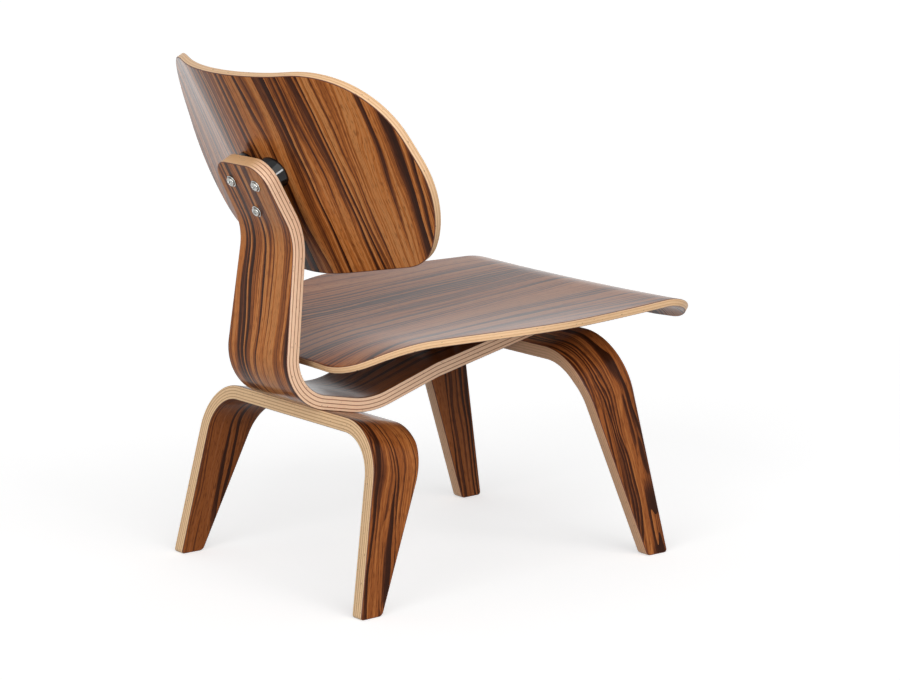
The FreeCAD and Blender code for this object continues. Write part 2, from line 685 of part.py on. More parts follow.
def screw(label, frame, spot, face, grip):
    """Screw with a bevelled round head, its washer against a face at a level of a frame."""
    body = new_body(label)
    profile = new_sketch(body, label + "_profile", "XZ_Plane")
    length = "Sizes.washer_thickness + %s - Sizes.screw_tip_gap" % grip
    draw_outline(profile, sharp([
        ("0", length),
        ("Sizes.screw_radius", length),
        ("Sizes.screw_radius", "0"),
        ("Sizes.screw_head_radius", "0"),
        ("Sizes.screw_head_radius", "Sizes.screw_head_bevel - Sizes.screw_head_height"),
        ("Sizes.screw_head_radius - Sizes.screw_head_bevel", "-Sizes.screw_head_height"),
        ("0", "-Sizes.screw_head_height"),
    ]))
    turned = body.newObject("PartDesign::Revolution", label + "_turned")
    turned.Profile = profile
    turned.ReferenceAxis = (origin_item(body, "Z_Axis"), [""])
    level = number(face) - size("washer_thickness")
    body.Placement = frame.multiply(Placement(Vector(number(spot[0]), number(spot[1]), level), Rotation()))
    return body


def build():
    """All pieces of the chair."""
    sides = ("left", "right")
    back_places = ("upper_left", "upper_right", "lower")
    pieces = [
        leg_arch("rear_leg_arch", "rear", REAR, size("rear_rake"), LEG_SPOTS),
        leg_arch("front_leg_arch", "front", FRONT, -size("front_rake"), FRONT_PADS),
        spine(),
    ]
    seat, back = seat_shell(), back_shell()
    pieces += [seat, back]
    doc.recompute()

    top = FRONT.multiply(Placement(Vector(0, 0, size("spine_ply")), Rotation()))
    for row, spots in (("front", FRONT_PADS), ("rear", REAR_PADS)):
        for side, spot in zip(sides, spots):
            label = "seat_mount_%s_%s" % (row, side)
            pieces.append(rubber_mount(label, top, spot, "pad_radius", seat))
    for place, spot in zip(back_places, BACK_SPOTS):
        pieces.append(rubber_mount("back_mount_" + place, MOUNT, spot, "mount_radius", back))

    through_spine = "Sizes.spine_ply + Sizes.insert_length"
    rear_grip = "Sizes.rear_ply + Sizes.leg_insert_length"
    back_face = "-Sizes.spine_ply"
    pieces += [
        insert_group("back_mount_inserts", MOUNT, BACK_SPOTS, "Sizes.insert_length"),
        insert_group("seat_mount_inserts", top, FRONT_PADS + REAR_PADS, "Sizes.insert_length"),
        insert_group("rear_leg_inserts", REAR, LEG_SPOTS, "Sizes.leg_insert_length"),
        washer_group("back_washers", MOUNT, BACK_SPOTS, back_face),
        washer_group("front_leg_washers", FRONT, FRONT_PADS, "-Sizes.front_ply"),
        washer_group("seat_washers", FRONT, REAR_PADS, "0"),
        washer_group("rear_leg_washers", REAR, LEG_SPOTS, "-Sizes.rear_ply"),
    ]
    for place, spot in zip(back_places, BACK_SPOTS):
        pieces.append(screw("back_screw_" + place, MOUNT, spot, back_face, through_spine))
    for side, front, rear, leg in zip(sides, FRONT_PADS, REAR_PADS, LEG_SPOTS):
        front_grip = "Sizes.front_ply + " + through_spine
        pieces.append(screw("front_leg_screw_" + side, FRONT, front, "-Sizes.front_ply", front_grip))
        pieces.append(screw("seat_screw_" + side, FRONT, rear, "0", through_spine))
        pieces.append(screw("rear_leg_screw_" + side, REAR, leg, "-Sizes.rear_ply", rear_grip))
    return pieces


def check(pieces):
    """Stops when an object failed or a piece has no valid solid."""
    doc.recompute()
    for item in doc.Objects:
        if "Invalid" in item.State or "Error" in item.State:
            raise RuntimeError("%s failed: %s" % (item.Label, item.State))
    for piece in pieces:
        shape = piece.Shape
        if shape.isNull() or not shape.isValid() or not shape.Solids:
            raise RuntimeError(piece.Label + " has no valid solid")


def write(pieces):
    """One file for each piece."""
    os.makedirs("parts", exist_ok=True)
    for piece in pieces:
        piece.Shape.exportStep("parts/%s.step" % piece.Label)
        print("%-22s solids %d  volume %9.0f" % (piece.Label, len(piece.Shape.Solids), piece.Shape.Volume))


chair = build()
check(chair)
write(chair)
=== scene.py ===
"""Dressed lounge chair of bent and moulded plywood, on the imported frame.

Sizes are in millimetres and angles in degrees, as in the part's source, and meshes are in
metres. The chair faces -Y, +X is the sitter's left, +Z is up and the floor is Z = 0.
"""

import logging
import math
from dataclasses import dataclass, field
from enum import Enum
from typing import Any, Callable, Iterable, Optional, Sequence

import bmesh
import bpy
import numpy as np
from mathutils import Matrix, Vector
from mathutils.bvhtree import BVHTree


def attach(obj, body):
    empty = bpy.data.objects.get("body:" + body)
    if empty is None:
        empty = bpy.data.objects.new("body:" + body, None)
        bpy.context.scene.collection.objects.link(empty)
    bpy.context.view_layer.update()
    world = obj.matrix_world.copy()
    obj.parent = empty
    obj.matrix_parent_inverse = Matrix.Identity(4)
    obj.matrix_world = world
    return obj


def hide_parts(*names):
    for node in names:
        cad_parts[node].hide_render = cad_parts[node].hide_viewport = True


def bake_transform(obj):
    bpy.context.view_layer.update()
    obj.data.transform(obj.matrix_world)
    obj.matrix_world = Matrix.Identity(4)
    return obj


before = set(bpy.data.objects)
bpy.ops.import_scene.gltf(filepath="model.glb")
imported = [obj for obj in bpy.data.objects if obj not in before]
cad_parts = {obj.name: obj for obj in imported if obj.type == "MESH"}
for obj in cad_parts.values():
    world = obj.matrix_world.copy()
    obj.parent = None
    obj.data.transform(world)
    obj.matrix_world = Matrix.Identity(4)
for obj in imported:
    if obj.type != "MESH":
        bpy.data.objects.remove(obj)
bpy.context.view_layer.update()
LOG = logging.getLogger("chair")
MM = 0.001
GRAIN = "grain"
WHITE = (1.0, 1.0, 1.0, 1.0)

# Width of the narrow faces beside an eased edge, which keep the shading of the broad ones even
SUPPORT = 2.0

# Widest spacing of the points on a shell's outline
OUTLINE_STEP = 4.0

Point = tuple[float, float]
Span = tuple[float, float]
Stops = Sequence[tuple[float, str]]
Form = Callable[[float, float, float], Vector]


class Slot(Enum):
    """Material slots of the record."""

    PLYWOOD = "veneered_plywood"
    RUBBER = "black_rubber"
    STEEL = "bright_steel"


class Body(Enum):
    """Bodies of the record."""

    FRAME = "frame"
    BACK = "back"


# Node trees


def linear(code: str) -> tuple[float, float, float, float]:
    """Turns an sRGB hex colour to linear.

    Args:
        code: Six hex digits after a hash sign.

    Returns:
        Linear red, green and blue, with full alpha.
    """
    parts = [int(code[i:i + 2], 16) / 255 for i in (1, 3, 5)]
    return (*(c / 12.92 if c <= 0.04045 else ((c + 0.055) / 1.055) ** 2.4 for c in parts), 1.0)


def connect(tree: bpy.types.NodeTree, node: bpy.types.Node, inputs: dict) -> None:
    """Sets and links the inputs of a node.

    Args:
        tree: Tree that holds the node.
        node: The node.
        inputs: Values, or outputs of other nodes, by the input's name or number.
    """
    for name, value in inputs.items():
        if isinstance(value, bpy.types.NodeSocket):
            tree.links.new(value, node.inputs[name])
        else:
            node.inputs[name].default_value = value


def add(
    tree: bpy.types.NodeTree,
    kind: str,
    inputs: Optional[dict] = None,
    stops: Stops = (),
    **settings: Any,
) -> bpy.types.Node:
    """Adds a node with its settings and links.

    Args:
        tree: Tree that gets the node.
        kind: Blender's name for the node.
        inputs: Values, or outputs of other nodes, by the input's name or number.
        stops: Places and hex colours of a colour ramp.
        settings: The node's own properties.

    Returns:
        The new node.
    """
    node = tree.nodes.new(kind)
    for name, value in settings.items():
        setattr(node, name, value)
    if stops:
        ramp = node.color_ramp.elements
        while len(ramp) < len(stops):
            ramp.new(1.0)
        for element, (place, code) in zip(ramp, stops):
            element.position = place
            element.color = linear(code)
    connect(tree, node, inputs or {})
    return node


def new_material(name: str) -> tuple[bpy.types.Material, bpy.types.NodeTree, bpy.types.Node]:
    """Makes a material with a bare shader.

    Args:
        name: Name of the finish.

    Returns:
        The material, its tree and its shader node.
    """
    material = bpy.data.materials.new(name)
    material.use_nodes = True
    tree = material.node_tree
    return material, tree, tree.nodes["Principled BSDF"]


def stretched(
    tree: bpy.types.NodeTree, place: bpy.types.NodeSocket, width: float, length: float, detail: float
) -> bpy.types.NodeSocket:
    """Noise drawn out on the map of a sheet or an edge.

    Args:
        tree: Tree that gets the nodes.
        place: Place on the map, in metres.
        width: Size of the noise along the map's first axis.
        length: Its size along the second.
        detail: Finer levels in it.

    Returns:
        The noise, from 0 to 1.
    """
    scale = (1 / (width * MM), 1 / (length * MM), 1.0)
    sized = add(tree, "ShaderNodeMapping", {"Vector": place, "Scale": scale}).outputs["Vector"]
    inputs = {"Vector": sized, "Scale": 1.0, "Detail": detail}
    return add(tree, "ShaderNodeTexNoise", inputs, noise_dimensions="2D").outputs["Fac"]


def mottled(
    tree: bpy.types.NodeTree, size: float, detail: float, stops: Stops, gloss: Span
) -> tuple[bpy.types.NodeSocket, dict[str, bpy.types.NodeSocket]]:
    """Colour and roughness that follow a noise in the piece's own space.

    Args:
        tree: Tree that gets the nodes.
        size: Size of the noise.
        detail: Finer levels in it.
        stops: Colours by the noise.
        gloss: Lowest and highest roughness.

    Returns:
        The noise, and the shader's inputs that follow it.
    """
    place = add(tree, "ShaderNodeTexCoord").outputs["Object"]
    inputs = {"Vector": place, "Scale": 1 / (size * MM), "Detail": detail}
    noise = add(tree, "ShaderNodeTexNoise", inputs).outputs["Fac"]
    colour = add(tree, "ShaderNodeValToRGB", {"Fac": noise}, stops=stops).outputs["Color"]
    smooth, rough = gloss
    spread = add(tree, "ShaderNodeMapRange", {"Value": noise, "To Min": smooth, "To Max": rough})
    return noise, {"Base Color": colour, "Roughness": spread.outputs[0]}


# Finishes


@dataclass(frozen=True)
class Veneer:
    """Rosewood face veneer, sliced along the grain and lacquered satin.

    It shows the dark ends of growth rings, sharp on one side and soft on the other, on an
    orange ground with broad brown bands, fine lines and short pores, and a glare where it is
    seen at a low angle. The pores are drawn wider than real ones, so that they show.
    """

    name: str
    seed: float
    ring: float = 12.0
    ring_chance: Span = (0.3, 0.9)
    ring_dark: Span = (0.12, 0.9)
    ring_fade: Stops = (
        (0.0, "#ffffff"),
        (0.22, "#e8e8e8"),
        (0.5, "#a8a8a8"),
        (0.75, "#505050"),
        (0.92, "#303030"),
        (0.97, "#a0a0a0"),
    )
    wander: float = 2.2
    wander_width: float = 80.0
    wander_length: float = 900.0
    zone_middle: float = 0.45
    zone_dark: float = 0.45
    sway: float = 6.0
    sway_width: float = 60.0
    sway_length: float = 240.0
    band: float = 17.0
    band_length: float = 620.0
    band_edge: Span = (0.48, 0.6)
    band_dark: float = 0.34
    line: float = 2.6
    line_length: float = 300.0
    line_dark: float = 0.9
    pore: float = 0.9
    pore_length: float = 12.0
    pore_depth: float = 0.2
    pore_relief: float = 0.12
    pore_dark: float = 0.55
    pores: Stops = ((0.30, "#8c7468"), (0.46, "#ffffff"))
    light: str = "#cf8a50"
    ground: str = "#c47438"
    ground_from: float = 0.16
    browns: Stops = ((0.34, "#985629"), (0.52, "#5f321b"), (0.72, "#42200f"), (1.0, "#34180b"))
    smooth: float = 0.30
    rough: float = 0.42
    ior: float = 1.5
    specular: float = 0.05
    coat: float = 0.85
    coat_ior: float = 1.13
    coat_rough: float = 0.18

    def material(self) -> bpy.types.Material:
        """Builds the finish on the sheet's own grain map.

        Returns:
            The new material.
        """
        material, tree, shader = new_material(self.name)
        swayed = self.swayed(tree)
        lines = stretched(tree, swayed, self.line, self.line_length, 2.0)
        pores = stretched(tree, swayed, self.pore, self.pore_length, 1.0)
        bands = stretched(tree, swayed, self.band, self.band_length, 1.0)
        low, high = self.band_edge
        brown = add(tree, "ShaderNodeMapRange", {
            "Value": bands, "From Min": low, "From Max": high, "To Max": self.band_dark,
        }).outputs[0]
        broad = add(tree, "ShaderNodeMath", {0: self.rings(tree, swayed), 1: brown}).outputs[0]
        fine = add(tree, "ShaderNodeMath", {0: lines, 1: 0.5}, operation="SUBTRACT").outputs[0]
        figure = add(
            tree, "ShaderNodeMath", {0: fine, 1: self.line_dark, 2: broad}, operation="MULTIPLY_ADD"
        ).outputs[0]
        colours = ((0.0, self.light), (self.ground_from, self.ground), *self.browns)
        wood = add(tree, "ShaderNodeValToRGB", {"Fac": figure}, stops=colours).outputs["Color"]
        dots = add(tree, "ShaderNodeValToRGB", {"Fac": pores}, stops=self.pores).outputs["Color"]
        layers = {0: self.pore_dark, 6: wood, 7: dots}
        tint = add(tree, "ShaderNodeMix", layers, data_type="RGBA", blend_type="MULTIPLY").outputs[2]
        gloss = add(tree, "ShaderNodeMapRange", {"Value": lines, "To Min": self.smooth, "To Max": self.rough})
        bump = add(tree, "ShaderNodeBump", {
            "Strength": self.pore_relief, "Distance": self.pore_depth * MM, "Height": pores,
        })
        connect(tree, shader, {
            "Base Color": tint,
            "Roughness": gloss.outputs[0],
            "Normal": bump.outputs[0],
            "IOR": self.ior,
            "Specular IOR Level": self.specular,
            "Coat Weight": self.coat,
            "Coat IOR": self.coat_ior,
            "Coat Roughness": self.coat_rough,
        })
        return material

    def swayed(self, tree: bpy.types.NodeTree) -> bpy.types.NodeSocket:
        """Place in the wood that the sheet is cut from, in metres.

        Args:
            tree: Tree that gets the nodes.

        Returns:
            The place across and along the grain, which sways a little.
        """
        grain = add(tree, "ShaderNodeUVMap", uv_map=GRAIN).outputs["UV"]
        start = (self.seed, self.seed * 0.7, 0)
        place = add(tree, "ShaderNodeMapping", {"Vector": grain, "Location": start}).outputs["Vector"]
        slow = stretched(tree, place, self.sway_width, self.sway_length, 2.0)
        centred = add(tree, "ShaderNodeMath", {0: slow, 1: 0.5}, operation="SUBTRACT").outputs[0]
        reach = 4 * self.sway * MM
        shift = add(tree, "ShaderNodeMath", {0: centred, 1: reach}, operation="MULTIPLY").outputs[0]
        move = add(tree, "ShaderNodeCombineXYZ", {"X": shift}).outputs["Vector"]
        return add(tree, "ShaderNodeVectorMath", {0: place, 1: move}, operation="ADD").outputs[0]

    def rings(self, tree: bpy.types.NodeTree, place: bpy.types.NodeSocket) -> bpy.types.NodeSocket:
        """Growth rings as the slice shows them.

        Args:
            tree: Tree that gets the nodes.
            place: Place on the sheet, across and along the grain, in metres.

        Returns:
            Darkness, from 0 on the ground to 1 at the end of a strong ring.
        """
        wander = stretched(tree, place, self.wander_width, self.wander_length, 2.0)
        across = add(tree, "ShaderNodeSeparateXYZ", {"Vector": place}).outputs["X"]
        rate = 1 / (self.ring * MM)
        even = add(tree, "ShaderNodeMath", {0: across, 1: rate}, operation="MULTIPLY").outputs[0]
        count = add(
            tree, "ShaderNodeMath", {0: wander, 1: 2 * self.wander, 2: even}, operation="MULTIPLY_ADD"
        ).outputs[0]
        number = add(tree, "ShaderNodeMath", {0: count}, operation="FLOOR").outputs[0]
        within = add(tree, "ShaderNodeMath", {0: count}, operation="FRACT").outputs[0]
        chance = add(tree, "ShaderNodeTexWhiteNoise", {"W": number}, noise_dimensions="1D").outputs["Value"]
        (rare, common), (weak, strong) = self.ring_chance, self.ring_dark
        strength = add(tree, "ShaderNodeMapRange", {
            "Value": chance, "From Min": rare, "From Max": common, "To Min": weak, "To Max": strong,
        }).outputs[0]
        fade = add(tree, "ShaderNodeValToRGB", {"Fac": within}, stops=self.ring_fade).outputs["Color"]
        dark = add(tree, "ShaderNodeMath", {0: fade, 1: strength}, operation="MULTIPLY").outputs[0]
        zones = add(tree, "ShaderNodeMath", {0: wander, 1: self.zone_middle}, operation="SUBTRACT").outputs[0]
        return add(
            tree, "ShaderNodeMath", {0: zones, 1: self.zone_dark, 2: dark}, operation="MULTIPLY_ADD"
        ).outputs[0]


@dataclass(frozen=True)
class PlyEdge:
    """Sanded birch plywood edge under clear lacquer.

    It shows pale plies that run along the edge, thinner and darker cross plies between them,
    short streaks, a few small voids, and the face veneers as a dark line at each side. Where a
    strip ends square to its grain, the plies look much alike. The streaks are drawn coarser
    than real fibres, so that they show.
    """

    name: str
    ply: float
    layers: int
    pale: str = "#ecc498"
    cross: str = "#d8aa7c"
    cross_ply: float = 1.3
    ply_blur: float = 0.04
    wave: float = 0.5
    wave_length: float = 45.0
    wave_height: float = 6.0
    streak_length: float = 7.0
    streak_height: float = 0.5
    streak_depth: float = 0.2
    streak_relief: float = 0.2
    streak_dark: float = 0.25
    streaks: Stops = ((0.28, "#b98f6c"), (0.5, "#ffffff"))
    void_length: float = 5.0
    void_height: float = 1.2
    voids: Stops = ((0.86, "#ffffff"), (0.89, "#5a3820"))
    face: str = "#6b4028"
    face_veneer: float = 0.6
    face_blur: float = 1.25
    end: float = 0.0
    end_half: float = 0.0
    end_fade: float = 18.0
    end_grain: str = "#e0b482"
    smooth: float = 0.38
    rough: float = 0.55
    ior: float = 1.5

    def material(self) -> bpy.types.Material:
        """Builds the finish on the edge's map: along the edge, and depth below the face.

        Returns:
            The new material.
        """
        material, tree, shader = new_material(self.name)
        grain = add(tree, "ShaderNodeUVMap", uv_map=GRAIN).outputs["UV"]
        depth = add(tree, "ShaderNodeSeparateXYZ", {"Vector": grain}).outputs["Y"]
        fibre = stretched(tree, grain, self.streak_length, self.streak_height, 3.0)
        spots = stretched(tree, grain, self.void_length, self.void_height, 0.0)
        whole = 1 / (self.ply * MM)
        across = add(tree, "ShaderNodeMath", {0: depth, 1: whole}, operation="MULTIPLY").outputs[0]
        skin = self.face_veneer / self.ply
        blurred = skin * self.face_blur
        faces = (
            (0.0, self.face),
            (skin, self.face),
            (blurred, "#ffffff"),
            (1 - blurred, "#ffffff"),
            (1 - skin, self.face),
        )
        tint = self.plies(tree, grain, depth)
        for share, place, stops in (
            (self.streak_dark, fibre, self.streaks), (1.0, spots, self.voids), (1.0, across, faces),
        ):
            layer = add(tree, "ShaderNodeValToRGB", {"Fac": place}, stops=stops).outputs["Color"]
            tint = add(
                tree, "ShaderNodeMix", {0: share, 6: tint, 7: layer}, data_type="RGBA", blend_type="MULTIPLY"
            ).outputs[2]
        gloss = add(tree, "ShaderNodeMapRange", {"Value": fibre, "To Min": self.smooth, "To Max": self.rough})
        bump = add(tree, "ShaderNodeBump", {
            "Strength": self.streak_relief, "Distance": self.streak_depth * MM, "Height": fibre,
        })
        connect(tree, shader, {
            "Base Color": tint, "Roughness": gloss.outputs[0], "Normal": bump.outputs[0], "IOR": self.ior,
        })
        return material

    def plies(
        self, tree: bpy.types.NodeTree, grain: bpy.types.NodeSocket, depth: bpy.types.NodeSocket
    ) -> bpy.types.NodeSocket:
        """Plies and cross plies, and the end grain where the strip has a square end.

        Args:
            tree: Tree that gets the nodes.
            grain: Place on the edge, along it and in depth, in metres.
            depth: The depth alone.

        Returns:
            Their colour.
        """
        waves = stretched(tree, grain, self.wave_length, self.wave_height, 2.0)
        wavy = add(
            tree, "ShaderNodeMath", {0: waves, 1: self.wave * MM, 2: depth}, operation="MULTIPLY_ADD"
        ).outputs[0]
        pitch = (self.ply + self.cross_ply) / self.layers
        level = add(tree, "ShaderNodeMath", {0: wavy, 1: 1 / (pitch * MM)}, operation="MULTIPLY").outputs[0]
        within = add(tree, "ShaderNodeMath", {0: level}, operation="FRACT").outputs[0]
        share, blur = 1 - self.cross_ply / pitch, self.ply_blur
        colour = add(tree, "ShaderNodeValToRGB", {"Fac": within}, stops=(
            (0.0, self.pale),
            (share - blur, self.pale),
            (share + blur, self.cross),
            (1 - blur, self.cross),
            (1.0, self.pale),
        )).outputs["Color"]
        if not self.end_half:
            return colour
        along = add(tree, "ShaderNodeSeparateXYZ", {"Vector": grain}).outputs["X"]
        aside = add(tree, "ShaderNodeMath", {0: along, 1: self.end * MM}, operation="SUBTRACT").outputs[0]
        away = add(tree, "ShaderNodeMath", {0: aside}, operation="ABSOLUTE").outputs[0]
        far = self.end_half + self.end_fade
        near = add(tree, "ShaderNodeMapRange", {
            "Value": away, "From Min": far * MM, "From Max": self.end_half * MM,
        }).outputs[0]
        ends = {0: near, 6: colour, 7: linear(self.end_grain)}
        return add(tree, "ShaderNodeMix", ends, data_type="RGBA").outputs[2]


@dataclass(frozen=True)
class MouldedRubber:
    """Black moulded rubber with a smooth skin: near black, with a narrow bright highlight."""

    name: str = "black moulded rubber"
    black: str = "#0a0a0b"
    worn: str = "#161617"
    mottle: float = 9.0
    mottle_edge: Span = (0.35, 0.75)
    depth: float = 0.1
    relief: float = 0.08
    smooth: float = 0.05
    rough: float = 0.10
    specular: float = 0.35

    def material(self) -> bpy.types.Material:
        """Builds the finish with faint mottling in its colour and gloss.

        Returns:
            The new material.
        """
        material, tree, shader = new_material(self.name)
        stops = tuple(zip(self.mottle_edge, (self.black, self.worn)))
        noise, inputs = mottled(tree, self.mottle, 4.0, stops, (self.smooth, self.rough))
        skin = {"Strength": self.relief, "Distance": self.depth * MM, "Height": noise}
        bump = add(tree, "ShaderNodeBump", skin).outputs[0]
        connect(tree, shader, {**inputs, "Normal": bump, "Specular IOR Level": self.specular})
        return material


@dataclass(frozen=True)
class Metal:
    """Bright metal, turned or plated: clear reflections, with a coarse mottle in their colour and sharpness.

    The mottle is partly fine wear, drawn coarser than it is so that it shows, and partly painted dark
    reflections: its dull colour stands in for dark surroundings mirrored in the metal.
    """

    name: str
    bright: str
    dull_and_dark_reflection: str
    smooth: float
    rough: float
    wear_and_reflection: float = 1.5
    wear_and_reflection_edge: Span = (0.3, 0.6)

    def material(self) -> bpy.types.Material:
        """Builds the finish with fine wear in its colour and gloss.

        Returns:
            Builds the finish with the mottle in its colour and gloss: wear, and in the colour also painted dark
            reflections.
        """
        material, tree, shader = new_material(self.name)
        stops = tuple(zip(self.wear_and_reflection_edge, (self.dull_and_dark_reflection, self.bright)))
        _, inputs = mottled(tree, self.wear_and_reflection, 3.0, stops, (self.smooth, self.rough))
        connect(tree, shader, {**inputs, "Metallic": 1.0})
        return material


# On the plated steel, the mottle's dull colour is painted dark reflections as well as wear.
PLATED_STEEL = Metal("bright zinc-plated steel", "#c4c4c0", "#6f6f6d", 0.10, 0.26)
TURNED_BRASS = Metal("turned brass", "#c79a4b", "#9a7434", 0.22, 0.38)


# Meshes


def new_object(name: str, data: bpy.types.ID) -> bpy.types.Object:
    """Makes an object and links it to the scene.

    Args:
        name: Name of the object.
        data: Its mesh, camera or light.

    Returns:
        The new object.
    """
    item = bpy.data.objects.new(name, data)
    bpy.context.scene.collection.objects.link(item)
    return item


class Shape:
    """Vertices and faces of a piece in millimetres, gathered before its mesh is made."""

    def __init__(self) -> None:
        """Starts with nothing in it."""
        self.points: list[Vector] = []
        self.faces: list[tuple[int, ...]] = []
        self.slots: list[int] = []
        self.maps: list[Sequence[Point]] = []

    def point(self, place: Vector) -> int:
        """Adds a vertex and gives its number."""
        self.points.append(place)
        return len(self.points) - 1

    def face(self, corners: Sequence[int], slot: int = 0, grain: Optional[Sequence[Point]] = None) -> None:
        """Adds a face.

        Args:
            corners: Numbers of its vertices, in order.
            slot: Material of the face.
            grain: Place of each corner on the grain map, in millimetres.
        """
        self.faces.append(tuple(corners))
        self.slots.append(slot)
        self.maps.append(grain or [(0.0, 0.0)] * len(corners))

    def band(self, lower: Sequence[int], upper: Sequence[int]) -> None:
        """Joins two rings of vertices with faces.

        Args:
            lower: Numbers of the first ring's vertices; a ring of one vertex closes to a point.
            upper: Those of the second ring.
        """
        count = max(len(lower), len(upper))
        for i in range(count):
            j = (i + 1) % count
            below = [lower[i % len(lower)], lower[j % len(lower)]]
            above = [upper[j % len(upper)], upper[i % len(upper)]]
            self.face(list(dict.fromkeys(below + above)))

    def make(self, name: str, materials: Iterable[bpy.types.Material]) -> bpy.types.Object:
        """Makes the object, with its faces outwards.

        Args:
            name: Name of the piece.
            materials: Materials in the order of the faces' slots.

        Returns:
            The new object, at the origin, with its place in its mesh.
        """
        mesh = bpy.data.meshes.new(name)
        mesh.from_pydata([p * MM for p in self.points], [], self.faces)
        mesh.polygons.foreach_set("material_index", self.slots)
        layer = mesh.uv_layers.new(name=GRAIN)
        flat = [value * MM for grain in self.maps for spot in grain for value in spot]
        layer.data.foreach_set("uv", flat)
        work = bmesh.new()
        work.from_mesh(mesh)
        bmesh.ops.recalc_face_normals(work, faces=work.faces)
        work.to_mesh(mesh)
        work.free()
        mesh.shade_smooth()
        for material in materials:
            mesh.materials.append(material)
        return new_object(name, mesh)


def seat_piece(piece: bpy.types.Object, body: Body, slot: Slot, *nodes: str) -> bpy.types.Object:
    """Puts a finished piece on its body, in place of its nodes.

    Args:
        piece: The finished piece.
        body: Body that carries it.
        slot: Not used.
        nodes: Nodes of the frame that it stands for.

    Returns:
        The piece.
    """
    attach(piece, body.value)
    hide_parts(*nodes)
    return piece


@dataclass(frozen=True)
class Step:
    """One step of a bent path: a straight run, or a bend to the left where it has a turn."""

    length: float = 0.0
    radius: float = 0.0
    turn: float = 0.0

    @property
    def reach(self) -> float:
        """Distance along the step."""
        return self.radius * abs(math.radians(self.turn)) if self.turn else self.length


class Path:
    """Runs joined by tangent bends in a plane, walked by the distance along them."""

    def __init__(self, steps: Sequence[Step], start: Point = (0.0, 0.0), heading: float = 0.0) -> None:
        """Lays the steps out.

        Args:
            steps: Runs and bends in order.
            start: First point.
            heading: First direction.
        """
        self.steps = list(steps)
        self.starts: list[tuple[float, Point, float]] = []
        self.length = 0.0
        for step in self.steps:
            self.starts.append((self.length, start, heading))
            start = self.along(step, start, heading, step.reach)
            heading += step.turn
            self.length += step.reach
        self.end = start
        self.heading = heading

    @staticmethod
    def along(step: Step, start: Point, heading: float, distance: float, left: float = 0.0) -> Point:
        """Point on one step.

        Args:
            step: The step.
            start: Its first point.
            heading: Its first direction.
            distance: Distance from its start.
            left: Distance to the left of it.

        Returns:
            The point.
        """
        angle = math.radians(heading)
        if not step.turn:
            x = start[0] + distance * math.cos(angle)
            y = start[1] + distance * math.sin(angle)
        else:
            side = math.copysign(1.0, step.turn)
            spoke = side * step.radius
            centre = (start[0] - spoke * math.sin(angle), start[1] + spoke * math.cos(angle))
            angle += side * distance / step.radius
            x = centre[0] + spoke * math.sin(angle)
            y = centre[1] - spoke * math.cos(angle)
        return (x - left * math.sin(angle), y + left * math.cos(angle))

    def at(self, distance: float, left: float = 0.0) -> Point:
        """Point at a distance along the path.

        Args:
            distance: Distance from the path's start.
            left: Distance to the left of the path.

        Returns:
            The point.
        """
        index = 0
        while index + 1 < len(self.starts) and self.starts[index + 1][0] <= distance:
            index += 1
        before, start, heading = self.starts[index]
        return self.along(self.steps[index], start, heading, distance - before, left)

    def stations(self, on_runs: float, on_bends: float) -> list[float]:
        """Distances of a net's rows, closer together on the bends.

        Args:
            on_runs: Widest spacing on straight runs.
            on_bends: Widest spacing on bends.

        Returns:
            Distances from the start to the end.
        """
        rows = [0.0]
        for step, (before, _, _) in zip(self.steps, self.starts):
            count = math.ceil(step.reach / (on_bends if step.turn else on_runs))
            rows += [before + step.reach * (k + 1) / count for k in range(count)]
        return rows


def leaning(point: Point, lean: float) -> Matrix:
    """Frame at a point of the Y-Z plane, turned about X."""
    return Matrix.Translation((0.0, *point)) @ Matrix.Rotation(math.radians(lean), 4, "X")


@dataclass
class Pattern:
    """Flat pattern of a sheet: a net of points, whose border is set in from the outline.

    The places are (across the grain, along the grain).
    """

    points: list[Point]
    faces: list[tuple[int, ...]]
    border: list[int]
    outline: list[Vector]
    inward: list[Vector]

    def walked(self) -> list[float]:
        """Measures the outline.

        Returns:
            Distances along it to each of its points, and round to the first again.
        """
        distances = [0.0]
        for here, after in zip(self.outline, self.outline[1:] + self.outline[:1]):
            distances.append(distances[-1] + (after - here).length)
        return distances


def inward_of(outline: Sequence[Vector]) -> list[Vector]:
    """Steps that move each point of a closed outline inwards by one unit of width.

    Args:
        outline: Points in order.

    Returns:
        One step for each point, longer at sharp corners.
    """
    count = len(outline)
    area = sum(outline[i - 1].cross(outline[i]) for i in range(count))
    side = math.copysign(1.0, area)
    edges = [(outline[(i + 1) % count] - outline[i]).normalized() for i in range(count)]
    normals = [Vector((-e.y, e.x)) * side for e in edges]
    steps = []
    for index in range(count):
        before, after = normals[index - 1], normals[index]
        steps.append((before + after) / (1 + before.dot(after)))
    return steps


def quarter(steps: int) -> list[float]:
    """Sines of even turns from 0 to 90 degrees, for the rows over a rounded corner."""
    return [math.sin(math.radians(90 * k / steps)) for k in range(steps + 1)]


def ring_pattern(outline: Sequence[Vector], ease: float, rings: int) -> Pattern:
    """Net of rings inside a rounded outline, for a shell.

    Args:
        outline: Points of the outline.
        ease: Width of the eased edge.
        rings: Rings between the border and the middle.

    Returns:
        The pattern.
    """
    inward = inward_of(outline)
    lows = Vector((min(p.x for p in outline), min(p.y for p in outline)))
    highs = Vector((max(p.x for p in outline), max(p.y for p in outline)))
    middle = (lows + highs) / 2
    border = [p + ease * step for p, step in zip(outline, inward)]
    support = [p + (ease + SUPPORT) * step for p, step in zip(outline, inward)]
    count = len(outline)
    points = [tuple(p) for p in border]
    for ring in range(rings):
        share = 1 - ring / rings
        points += [tuple(middle + (p - middle) * share) for p in support]
    points.append(tuple(middle))
    faces = []
    for ring in range(rings):
        for i in range(count):
            j = (i + 1) % count
            first, second = ring * count, (ring + 1) * count
            faces.append((first + i, first + j, second + j, second + i))
    last = rings * count
    faces += [(last + i, last + (i + 1) % count, len(points) - 1) for i in range(count)]
    return Pattern(points, faces, list(range(count)), list(outline), inward)


